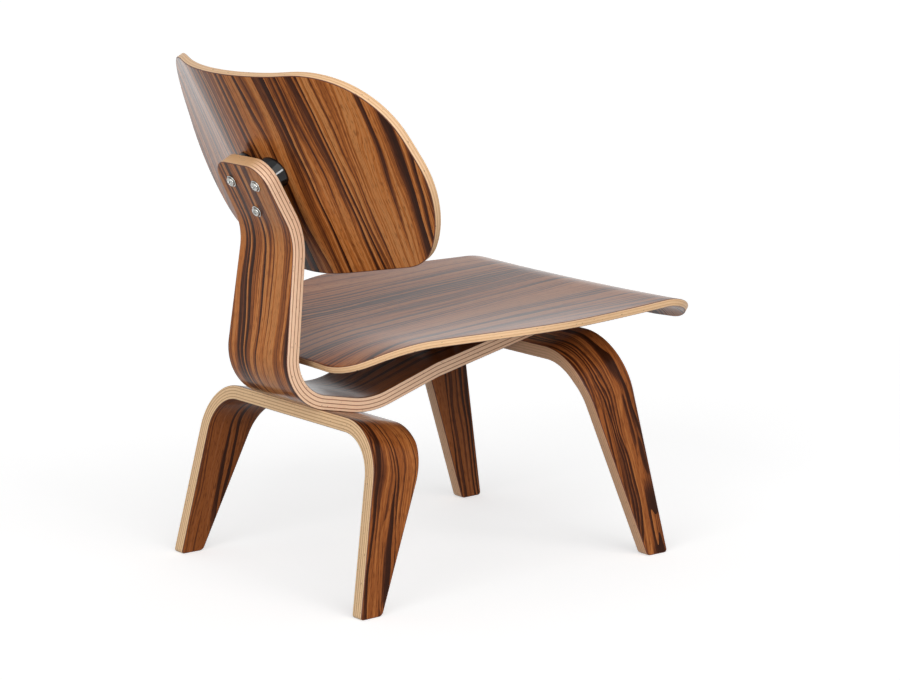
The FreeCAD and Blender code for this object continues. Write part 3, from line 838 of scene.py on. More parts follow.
def strip_pattern(
    rows: Sequence[float], edges: Callable[[float], Point], ease: float, columns: int
) -> Pattern:
    """Net of rows across a strip.

    Args:
        rows: Distances of the rows along the strip.
        edges: Gives the strip's two sides at a distance along it.
        ease: Width of the eased edge.
        columns: Faces across the strip.

    Returns:
        The pattern.
    """
    widths = [edges(row) for row in rows]
    last = len(rows) - 1
    narrow = SUPPORT / (widths[0][1] - widths[0][0])
    shares = [0.0, narrow] + [k / columns for k in range(1, columns)] + [1 - narrow, 1.0]
    across = len(shares)
    cells = [(i, across - 1) for i in range(last)]
    cells += [(last, j) for j in range(across - 1, 0, -1)]
    cells += [(i, 0) for i in range(last, 0, -1)]
    cells += [(0, j) for j in range(across - 1)]
    outline = []
    for i, j in cells:
        low, high = widths[i]
        outline.append(Vector((low + (high - low) * shares[j], rows[i])))
    inward = inward_of(outline)
    spots = {cell: p + ease * step for cell, p, step in zip(cells, outline, inward)}
    points = []
    for i in range(last + 1):
        for j, share in enumerate(shares):
            if (i, j) not in spots:
                spots[i, j] = spots[i, 0].lerp(spots[i, across - 1], share)
            points.append(tuple(spots[i, j]))
    faces = []
    for i in range(last):
        for j in range(across - 1):
            first = i * across + j
            faces.append((first, first + 1, first + across + 1, first + across))
    return Pattern(points, faces, [i * across + j for i, j in cells], outline, inward)


@dataclass
class Sheet:
    """Sheet of plywood, pressed to a form, with eased edges.

    The form gives the place of a pattern point at a depth below the sheet's first face.
    """

    pattern: Pattern
    form: Form
    ply: float
    ease: float = 1.2
    ease_steps: int = 3

    def build(self, name: str, materials: Sequence[bpy.types.Material]) -> bpy.types.Object:
        """Builds both faces and the edge.

        Args:
            name: Name of the piece.
            materials: Materials of the first face, the other face and the edge.

        Returns:
            The new piece.
        """
        shape = Shape()
        pattern = self.pattern
        rims = []
        for slot, depth in enumerate((0.0, self.ply)):
            numbers = [shape.point(self.form(*p, depth)) for p in pattern.points]
            for corners in pattern.faces:
                shape.face([numbers[c] for c in corners], slot, [pattern.points[c] for c in corners])
            rims.append([numbers[c] for c in pattern.border])
        levels = []
        for step in range(1, self.ease_steps + 1):
            angle = math.radians(90 * step / self.ease_steps)
            levels.append((self.ease * (1 - math.sin(angle)), self.ease * (1 - math.cos(angle))))
        levels += [(inset, self.ply - depth) for inset, depth in reversed(levels)]
        loops = [(rims[0], 0.0)]
        for inset, depth in levels:
            ring = [p + inset * step for p, step in zip(pattern.outline, pattern.inward)]
            loops.append(([shape.point(self.form(*p, depth)) for p in ring], depth))
        loops.append((rims[1], self.ply))
        count = len(pattern.outline)
        walked = pattern.walked()
        for (upper, high), (lower, low) in zip(loops, loops[1:]):
            for i in range(count):
                j = (i + 1) % count
                grain = [(walked[i], high), (walked[i + 1], high), (walked[i + 1], low), (walked[i], low)]
                shape.face([upper[i], upper[j], lower[j], lower[i]], 2, grain)
        return shape.make(name, materials)


@dataclass(frozen=True)
class Corner:
    """Corner of an outline, with the radius that rounds it."""

    x: float
    y: float
    radius: float = 0.0


def both_sides(corners: Sequence[Corner]) -> list[Corner]:
    """Corners of the +X half followed by those of the -X half, in the other order."""
    return list(corners) + [Corner(-c.x, c.y, c.radius) for c in reversed(corners) if c.x]


def rounded(corners: Sequence[Corner], spacing: float) -> list[Vector]:
    """Closed outline with rounded corners.

    Args:
        corners: Corners in order.
        spacing: Widest spacing of the points.

    Returns:
        Points of the outline.
    """
    spots = [Vector((c.x, c.y)) for c in corners]
    line: list[Vector] = []
    for index, corner in enumerate(corners):
        here = spots[index]
        if not corner.radius:
            line.append(here)
            continue
        back = (spots[index - 1] - here).normalized()
        ahead = (spots[(index + 1) % len(spots)] - here).normalized()
        half = back.angle(ahead) / 2
        centre = here + (back + ahead).normalized() * corner.radius / math.sin(half)
        spoke = here + back * corner.radius / math.tan(half) - centre
        turn = math.copysign(math.pi - 2 * half, -back.cross(ahead))
        count = math.ceil(corner.radius * abs(turn) / spacing)
        for k in range(count + 1):
            line.append(centre + Matrix.Rotation(turn * k / count, 2) @ spoke)
    dense = []
    for here, after in zip(line, line[1:] + line[:1]):
        count = max(1, math.ceil((after - here).length / spacing))
        dense += [here.lerp(after, k / count) for k in range(count)]
    return dense


# Bent strips


@dataclass
class Spine:
    """Bent strip from the back's mount, over the rear arch, to the front arch."""

    rear_y: float = 194.0
    rear_z: float = 229.5
    rear_rake: float = 12.1
    ply: float = 19.1
    width: float = 132.0
    head_width: float = 104.0
    head_corner: float = 28.0
    tail_corner: float = 18.0
    heel_flat: float = 13.9
    heel_bend: float = 68.7
    upright_lean: float = 7.8
    upright_length: float = 121.5
    neck_bend: float = 78.0
    head_lean: float = 27.0
    head_length: float = 78.5
    belly_flat: float = 29.3
    belly_bend: float = 124.3
    ramp_angle: float = 17.1
    ramp_length: float = 77.9
    knee_bend: float = 85.1
    front_rake: float = 11.5
    tail_length: float = 209.9
    tail_reach: float = 21.2
    mount_height: float = 36.3
    mount_depth: float = 12.5
    run_step: float = 8.0
    bend_step: float = 3.0
    corner_steps: int = 10
    columns: int = 14

    def __post_init__(self) -> None:
        """Lays out the two branches and the frames that other pieces share."""
        heel_turn = 90 + self.upright_lean - self.rear_rake
        self.up = Path([
            Step(self.heel_flat),
            Step(radius=self.heel_bend, turn=heel_turn),
            Step(self.upright_length),
            Step(radius=self.neck_bend, turn=-self.upright_lean - self.head_lean),
            Step(self.head_length),
        ])
        self.ahead = Path([
            Step(self.belly_flat),
            Step(radius=self.belly_bend, turn=-self.rear_rake - self.ramp_angle),
            Step(self.ramp_length),
            Step(radius=self.knee_bend, turn=self.ramp_angle - self.front_rake),
            Step(self.tail_length),
        ], heading=180.0)
        self.heel_end = Path(self.up.steps[:2])
        self.rear = leaning((self.rear_y, self.rear_z), self.rear_rake)
        neck = Path(self.up.steps[:-1])
        self.head = self.rear @ leaning(neck.end, neck.heading)
        self.mount = self.head @ Matrix.Translation((0, self.mount_height, self.ply))
        self.back = self.mount @ Matrix.Translation((0, 0, self.mount_depth))
        spot = self.ahead.at(self.ahead.length - self.tail_reach)
        self.front = self.rear @ leaning(spot, self.ahead.heading - 180.0)

    def place(self, along: float, depth: float) -> Point:
        """Place in the strip's plane: up the spine, or ahead where the distance is negative."""
        return self.up.at(along, depth) if along >= 0 else self.ahead.at(-along, -depth)

    def half_width(self, level: float) -> float:
        """Half of the strip's width.

        Args:
            level: Level above the rear arch's top.

        Returns:
            The half width.
        """
        low, high = self.heel_end.end[1], self.up.end[1] + self.ply
        share = min(max((level - low) / (high - low), 0.0), 1.0)
        return (self.width + (self.head_width - self.width) * share) / 2

    def edges(self, along: float) -> Point:
        """Sides of the strip, with its corners rounded.

        Args:
            along: Distance up the spine, or ahead where it is negative.

        Returns:
            Both sides, from the middle.
        """
        half = self.half_width(self.place(along, self.ply / 2)[1])
        to_head, to_tail = self.up.length - along, along + self.ahead.length
        for left, radius in ((to_head, self.head_corner), (to_tail, self.tail_corner)):
            if left < radius:
                half -= radius - math.sqrt(max(0.0, radius ** 2 - (radius - left) ** 2))
        return (-half, half)

    def form(self, across: float, along: float, depth: float) -> Vector:
        """Places a point of the pattern.

        Args:
            across: Place across the strip, from its middle.
            along: Distance up the spine, or ahead where it is negative.
            depth: Distance above the strip's lower face.

        Returns:
            The place.
        """
        y, z = self.place(along, depth)
        middle = self.half_width(self.place(along, self.ply / 2)[1])
        return self.rear @ Vector((across * self.half_width(z) / middle, y, z))

    def rows(self) -> list[float]:
        """Rows of the net, closer together on the bends and the rounded corners.

        Returns:
            Distances along the strip, from its tail to its head.
        """
        ahead, up = (path.stations(self.run_step, self.bend_step) for path in (self.ahead, self.up))
        rows = [-s for s in reversed(ahead)] + up[1:]
        first, last = self.tail_corner - self.ahead.length, self.up.length - self.head_corner
        kept = [s for s in rows if first < s < last]
        turns = quarter(self.corner_steps)
        tail = [-self.ahead.length + self.tail_corner * (1 - t) for t in reversed(turns)]
        head = [self.up.length - self.head_corner * (1 - t) for t in turns]
        return tail + kept + head

    def build(self) -> list[bpy.types.Object]:
        """Builds the strip with its veneers and layered edge.

        Returns:
            The new piece, in a list.
        """
        pattern = strip_pattern(self.rows(), self.edges, Sheet.ease, self.columns)
        outline = pattern.outline
        top = max(range(len(outline)), key=lambda i: (outline[i].y, -abs(outline[i].x)))
        materials = (
            Veneer("rosewood veneer, spine outside", 3.1, ring=11.0).material(),
            Veneer("rosewood veneer, spine inside", 5.7, light="#84502c", ground="#784424").material(),
            PlyEdge(
                "birch ply edge, spine", self.ply, 4, pale="#f0cbaa", cross="#9a6446",
                end=pattern.walked()[top], end_half=self.head_width / 2 - self.head_corner,
            ).material(),
        )
        piece = Sheet(pattern, self.form, self.ply).build("spine_strip", materials)
        return [seat_piece(piece, Body.FRAME, Slot.PLYWOOD, "spine")]


@dataclass
class LegArch:
    """Bent arch of two tapered, splayed legs, placed by the middle of its top face."""

    node: str
    seed: float
    ground: str
    # Pale colour of the ply edge. On the front arch it is painted shade: darker than the rear arch's edge
    # because that edge lies in the seat's shade.
    edge: str
    place: Matrix
    lean: float
    ply: float
    half_flat: float
    bend: float
    splay: float
    top_back: float
    top_ahead: float
    shoulder: float
    foot: float
    foot_round: float = 5.0
    ring: float = 9.0
    run_step: float = 9.0
    bend_step: float = 3.0
    corner_steps: int = 6
    columns: int = 10

    def __post_init__(self) -> None:
        """Lays out half of the arch."""
        self.slope = math.tan(math.radians(self.lean))
        self.drop = self.place.translation.z / math.cos(math.radians(self.lean))
        bend = Step(radius=self.bend, turn=self.splay - 90)
        self.bend_end = self.half_flat + bend.reach
        level = Path([Step(self.half_flat), bend]).end[1]
        self.fall = math.cos(math.radians(self.splay))
        leg = (level + self.drop) / self.fall
        self.path = Path([Step(self.half_flat), bend, Step(leg)])

    def sides(self, level: float) -> Point:
        """Sides of the strip at a level.

        Args:
            level: Level from the arch's top, negative below it.

        Returns:
            Front and rear side.
        """
        half = self.foot / 2
        low = (-half, -self.drop + half * self.slope)
        high = (half, -self.drop - half * self.slope)
        sides = []
        for top, (end, floor) in ((-self.top_ahead, low), (self.top_back, high)):
            share = min(max((-self.shoulder - level) / (-self.shoulder - floor), 0.0), 1.0)
            sides.append(top + (end - top) * share)
        return (sides[0], sides[1])

    def blank(self, along: float) -> Point:
        """Sides of the strip at a distance from its middle, before the soles' corners are rounded."""
        return self.sides(self.path.at(abs(along), -self.ply / 2)[1])

    def edges(self, along: float) -> Point:
        """Sides of the strip, with the soles' corners rounded.

        Args:
            along: Distance from the arch's middle, negative on one leg.

        Returns:
            Front and rear side.
        """
        low, high = self.blank(along)
        rise = max(0.0, self.foot_round - self.path.length + abs(along))
        cut = self.foot_round - math.sqrt(max(0.0, self.foot_round ** 2 - rise ** 2))
        return (low + cut, high - cut)

    def form(self, across: float, along: float, depth: float) -> Vector:
        """Places a point of the pattern.

        The straight of each leg is drawn out until its sole lies on the floor.

        Args:
            across: Place between the strip's front and rear side.
            along: Distance from the arch's middle, negative on one leg.
            depth: Distance below the arch's outer face.

        Returns:
            The place.
        """
        low, high = self.blank(along)
        share = (across - low) / (high - low)
        straight = self.path.length - self.bend_end
        reached = abs(along)
        for _ in range(3):
            x, z = self.path.at(reached, -depth)
            low, high = self.sides(z)
            y = low + (high - low) * share
            if abs(along) > self.bend_end:
                level = self.path.at(self.bend_end, -depth)[1]
                leg = (level + self.drop + y * self.slope) / self.fall
                reached = self.bend_end + (abs(along) - self.bend_end) * leg / straight
        return self.place @ Vector((math.copysign(x, along), y, z))

    def build(self) -> list[bpy.types.Object]:
        """Builds the arch with its veneers and layered edge.

        Returns:
            The new piece, in a list.
        """
        shin = self.path.length - self.foot_round
        stations = self.path.stations(self.run_step, self.bend_step)
        half = [s for s in stations if s < shin - SUPPORT] + [shin - SUPPORT]
        half += [shin + self.foot_round * turn for turn in quarter(self.corner_steps)]
        rows = [-s for s in reversed(half)] + half[1:]
        pattern = strip_pattern(rows, self.edges, Sheet.ease, self.columns)
        name = self.node.replace("_", " ")
        materials = (
            Veneer(
                "rosewood veneer, %s outside" % name, self.seed, light="#b06c38", ground=self.ground,
                ring=self.ring, wander=4.5, wander_width=55.0, wander_length=380.0, sway=4.0, sway_length=160.0,
            ).material(),
            Veneer(
                "rosewood veneer, %s inside" % name, self.seed + 1.3, light="#a05f35", ground=self.ground,
                ring=self.ring,
            ).material(),
            PlyEdge("birch ply edge, %s" % name, self.ply, 5, pale=self.edge, cross="#c79a6e").material(),
        )
        piece = Sheet(pattern, self.form, self.ply).build(self.node + "_strip", materials)
        return [seat_piece(piece, Body.FRAME, Slot.PLYWOOD, self.node)]


# Moulded shells


@dataclass
class SeatShell:
    """Moulded seat, dished towards the rear and rolled down at the front."""

    spine: Spine
    ply: float = 10.0
    crown_ahead: float = 62.4
    crown_rise: float = 30.7
    tilt: float = 4.2
    tail_reach: float = 110.7
    tail_bend: float = 702.0
    roll: float = 106.9
    lip: float = 48.5
    side_crown_ahead: float = 77.2
    side_crown_rise: float = 33.0
    side_rise: float = 0.1
    side_tail_reach: float = 90.6
    side_tail_bend: float = 100.3
    back_gap: float = 25.5
    back_half: float = 118.6
    wide_back: float = 160.9
    wide_half: float = 248.7
    front_half: float = 203.1
    front_sweep: float = 4.7
    back_corner: float = 65.1
    side_round: float = 228.4
    front_corner: float = 68.4
    stock: float = 4.0
    samples: int = 160
    rings: int = 30

    def __post_init__(self) -> None:
        """Places the seat on the spine and samples its two profiles."""
        spine = self.spine
        self.place = Matrix.Translation(spine.front @ Vector((0, 0, spine.ply)))
        upright = spine.rear @ leaning(spine.heel_end.end, spine.heel_end.heading)
        face = upright @ Vector((0, 0, spine.ply))
        origin = self.place.translation
        lean = math.tan(math.radians(spine.upright_lean))
        self.rear_edge = face.y - (origin.z - face.z) * lean - origin.y - self.back_gap
        self.edge = self.wide_half + self.stock
        self.middle = self.sampled(self.profile(
            self.crown_ahead, self.crown_rise, self.tail_reach, self.tail_bend, self.tilt
        ))
        self.side = self.sampled(self.profile(
            self.side_crown_ahead, self.side_crown_rise, self.side_tail_reach, self.side_tail_bend,
            -self.side_rise,
        ))
        centre = self.middle.mean(axis=0)
        self.along = np.concatenate([[0.0], np.cumsum(np.hypot(*np.diff(centre, axis=0).T))])

    def profile(self, ahead: float, rise: float, reach: float, radius: float, fall: float) -> Path:
        """Profile of the seat's top, from the lip to behind the rear edge.

        Args:
            ahead: Distance of the crown ahead of the seat's origin.
            rise: Height of the crown.
            reach: Length of the curve at the rear.
            radius: Radius of that curve.
            fall: Slope of the straight behind the crown.

        Returns:
            The profile.
        """
        lip, slope = math.radians(self.lip), math.radians(fall)
        start = (
            -ahead - self.roll * (math.sin(lip) + math.sin(slope)),
            rise + self.roll * (math.cos(lip) - math.cos(slope)),
        )
        run = (self.rear_edge - reach + ahead) / math.cos(slope)
        droop = math.degrees(math.asin(math.sin(slope) + (reach + self.stock) / radius))
        return Path([
            Step(radius=self.roll, turn=-self.lip - fall),
            Step(run),
            Step(radius=radius, turn=fall - droop),
        ], start, self.lip)

    def sampled(self, path: Path) -> np.ndarray:
        """Samples a profile at equal shares of each of its steps.

        Args:
            path: The profile.

        Returns:
            Points of the top and of the underside.
        """
        faces = []
        for depth in (0.0, self.ply):
            points = []
            for step, (before, _, _) in zip(path.steps, path.starts):
                points += [path.at(before + step.reach * k / self.samples, -depth) for k in range(self.samples)]
            faces.append(points + [path.at(path.length, -depth)])
        return np.array(faces)

    def section(self, across: float, share: float) -> np.ndarray:
        """Section of the seat from front to rear.

        Args:
            across: Distance from the seat's middle.
            share: Share of the thickness below the top.

        Returns:
            Points of the section.
        """
        bulge = (across / self.edge) ** 2
        both = self.middle + (self.side - self.middle) * bulge
        return both[0] + (both[1] - both[0]) * share

    def form(self, across: float, along: float, depth: float) -> Vector:
        """Places a point of the pattern.

        Args:
            across: Distance from the seat's middle.
            along: Distance from the lip, along the grain.
            depth: Distance below the seat's top.

        Returns:
            The place.
        """
        line = self.section(across, depth / self.ply)
        y = np.interp(along, self.along, line[:, 0])
        z = np.interp(along, self.along, line[:, 1])
        return self.place @ Vector((across, y, z))

    def outline(self) -> list[Vector]:
        """Outline of the seat on its pattern.

        Returns:
            Points of the outline.
        """
        swing = math.sin(math.radians(self.lip)) + math.sin(math.radians(self.tilt))
        front = -self.crown_ahead - self.roll * swing
        plan = rounded(both_sides([
            Corner(self.back_half, self.rear_edge, self.back_corner),
            Corner(self.wide_half, self.wide_back, self.side_round),
            Corner(self.front_half, front + self.front_sweep, self.front_corner),
            Corner(0.0, front),
        ]), OUTLINE_STEP)
        outline = []
        for spot in plan:
            line = self.section(spot.x, 0.5)[:, 0]
            outline.append(Vector((spot.x, np.interp(spot.y, line, self.along))))
        return outline

    def build(self) -> list[bpy.types.Object]:
        """Builds the shell with its veneers and layered edge.

        Returns:
            The new piece, in a list.
        """
        pattern = ring_pattern(self.outline(), Sheet.ease, self.rings)
        materials = (
            Veneer("rosewood veneer, seat top", 8.3, ring=9.0, light="#a4673a", ground="#93572c").material(),
            Veneer("rosewood veneer, seat underside", 9.9).material(),
            PlyEdge("birch ply edge, seat", self.ply, 3).material(),
        )
        piece = Sheet(pattern, self.form, self.ply).build("seat_shell_sheet", materials)
        return [seat_piece(piece, Body.FRAME, Slot.PLYWOOD, "seat_shell")]


@dataclass
class BackShell:
    """Moulded back with forward wings and large corner radii."""

    spine: Spine
    ply: float = 10.0
    curve: float = 305.2
    wing_top: float = 22.3
    wing_foot: float = 12.4
    top: float = 157.0
    top_fall: float = 14.6
    top_half: float = 212.8
    side_fall: float = 46.5
    side_half: float = 263.2
    foot: float = 144.1
    foot_rise: float = 18.9
    foot_half: float = 207.4
    top_crown: float = 950.0
    top_corner: float = 142.6
    side_round: float = 134.6
    foot_corner: float = 65.9
    foot_crown: float = 911.0
    stock: float = 4.0
    rings: int = 30

    def form(self, across: float, along: float, depth: float) -> Vector:
        """Places a point of the pattern.

        Args:
            across: Distance from the back's middle.
            along: Distance up the back from the frame of its mounts.
            depth: Distance behind the back's front face.

        Returns:
            The place.
        """
        share = (along + self.foot + self.stock) / (self.top + self.foot + 2 * self.stock)
        wing = math.radians(self.wing_foot + (self.wing_top - self.wing_foot) * share)
        radius = self.curve - self.ply + depth
        reach = radius * math.sin(wing)
        side = abs(across)
        if side <= reach:
            ahead = self.curve - math.sqrt(radius ** 2 - side ** 2)
        else:
            ahead = self.curve - radius * math.cos(wing) + (side - reach) * math.tan(wing)
        return self.spine.back @ Vector((across, along, ahead))

    def outline(self) -> list[Vector]:
        """Outline of the back in front view.

        Returns:
            Points of the outline.
        """
        return rounded(both_sides([
            Corner(0.0, self.top, self.top_crown),
            Corner(self.top_half, self.top - self.top_fall, self.top_corner),
            Corner(self.side_half, -self.side_fall, self.side_round),
            Corner(self.foot_half, self.foot_rise - self.foot, self.foot_corner),
            Corner(0.0, -self.foot, self.foot_crown),
        ]), OUTLINE_STEP)

    def build(self) -> list[bpy.types.Object]:
        """Builds the shell with its veneers and layered edge.

        Returns:
            The new piece, in a list.
        """
        pattern = ring_pattern(self.outline(), Sheet.ease, self.rings)
        materials = (
            Veneer("rosewood veneer, back front", 12.7).material(),
            Veneer("rosewood veneer, back rear", 14.2).material(),
            PlyEdge("birch ply edge, back", self.ply, 3).material(),
        )
        piece = Sheet(pattern, self.form, self.ply).build("back_shell_sheet", materials)
        return [seat_piece(piece, Body.BACK, Slot.PLYWOOD, "back_shell")]


# Rubber mounts


@dataclass
class RubberMounts:
    """Round rubber mounts, tapered a little towards the spine."""

    spine: Spine
    back_radius: float = 22.0
    back_spots: tuple[tuple[str, float, float], ...] = (
        ("upper_left", 26.6, 13.8), ("upper_right", -26.6, 13.8), ("lower", 0.0, -27.7),
    )
    pad_radius: float = 26.0
    pad_half_spread: float = 34.0
    pad_front_set: float = 18.0
    pad_rear_set: float = 112.0
    ease: float = 1.5
    ease_middle: float = 0.3
    taper: float = 3.2
    height: float = 15.9
    segments: int = 96
    steps: int = 8
    finish: MouldedRubber = field(default_factory=MouldedRubber)

    def rings(self, radius: float) -> list[tuple[float, float, float]]:
        """Rings of a mount, from the middle of its foot to the middle of its top.

        Args:
            radius: Radius of the mount at its top.

        Returns:
            For each ring its radius, its share of the height, and its lift from there.
        """
        ease, foot = self.ease, radius - self.taper
        middle = ease * self.ease_middle
        narrow = self.taper * SUPPORT / (self.height - 2 * ease)
        shares = [k / self.steps for k in range(1, self.steps)]
        rings = [(foot * share, 0.0, 0.0) for share in shares]
        rings += [(foot - ease, 0.0, 0.0), (foot - middle, 0.0, middle), (foot, 0.0, ease)]
        rings += [(foot + narrow, 0.0, ease + SUPPORT), (radius - narrow, 1.0, -ease - SUPPORT)]
        rings += [(radius, 1.0, -ease), (radius - middle, 1.0, -middle), (radius - ease, 1.0, 0.0)]
        rings += [(radius * share, 1.0, 0.0) for share in reversed(shares)]
        return rings

    def mount(self, name: str, base: Matrix, radius: float, shell: str) -> bpy.types.Object:
        """Builds one mount, moulded to the underside of its shell.

        Args:
            name: Name of the piece.
            base: Frame of its foot, with its axis along Z.
            radius: Radius of the mount at its top.
            shell: Node of the shell that it carries.

        Returns:
            The new piece.
        """
        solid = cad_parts[shell].data
        tree = BVHTree.FromPolygons([v.co for v in solid.vertices], [f.vertices for f in solid.polygons])
        axis = (base.to_3x3() @ Vector((0, 0, 1))).normalized()
        shape = Shape()

        def spot(x: float, y: float, share: float, lift: float) -> int:
            """Adds a point at a share of the height up to the shell.

            Args:
                x: Place across the foot.
                y: Place up the foot.
                share: Share of the height.
                lift: Distance above that share.

            Returns:
                Number of the point.
            """
            start = base @ Vector((x, y, 0.0))
            height = tree.ray_cast(start * MM, axis)[3] / MM
            return shape.point(start + axis * (height * share + lift))

        turns = [math.tau * k / self.segments for k in range(self.segments)]
        loops = []
        for reach, share, lift in self.rings(radius):
            loops.append([spot(reach * math.cos(t), reach * math.sin(t), share, lift) for t in turns])
        for lower, upper in zip(loops, loops[1:]):
            shape.band(lower, upper)
        for loop, share in ((loops[0], 0.0), (loops[-1], 1.0)):
            shape.band(loop, [spot(0.0, 0.0, share, 0.0)])
        return shape.make(name, [self.rubber])

    def build(self) -> list[bpy.types.Object]:
        """Builds the back's three mounts and the seat's four.

        Returns:
            The new pieces.
        """
        spine = self.spine
        self.rubber = self.finish.material()
        pieces = []
        for place, across, up in self.back_spots:
            node = "back_mount_" + place
            offset = Matrix.Translation((across, up, 0))
            puck = self.mount(node + "_puck", spine.mount @ offset, self.back_radius, "back_shell")
            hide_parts(node)
            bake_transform(puck)
            pieces.append(puck)
        top = spine.front @ Matrix.Translation((0, 0, spine.ply))
        for row, ahead in (("front", self.pad_front_set), ("rear", self.pad_rear_set)):
            for side, across in (("left", self.pad_half_spread), ("right", -self.pad_half_spread)):
                node = "seat_mount_%s_%s" % (row, side)
                base = top @ Matrix.Translation((across, ahead, 0))
                pad = self.mount(node + "_pad", base, self.pad_radius, "seat_shell")
                pieces.append(seat_piece(pad, Body.FRAME, Slot.RUBBER, node))
        return pieces


# Fasteners


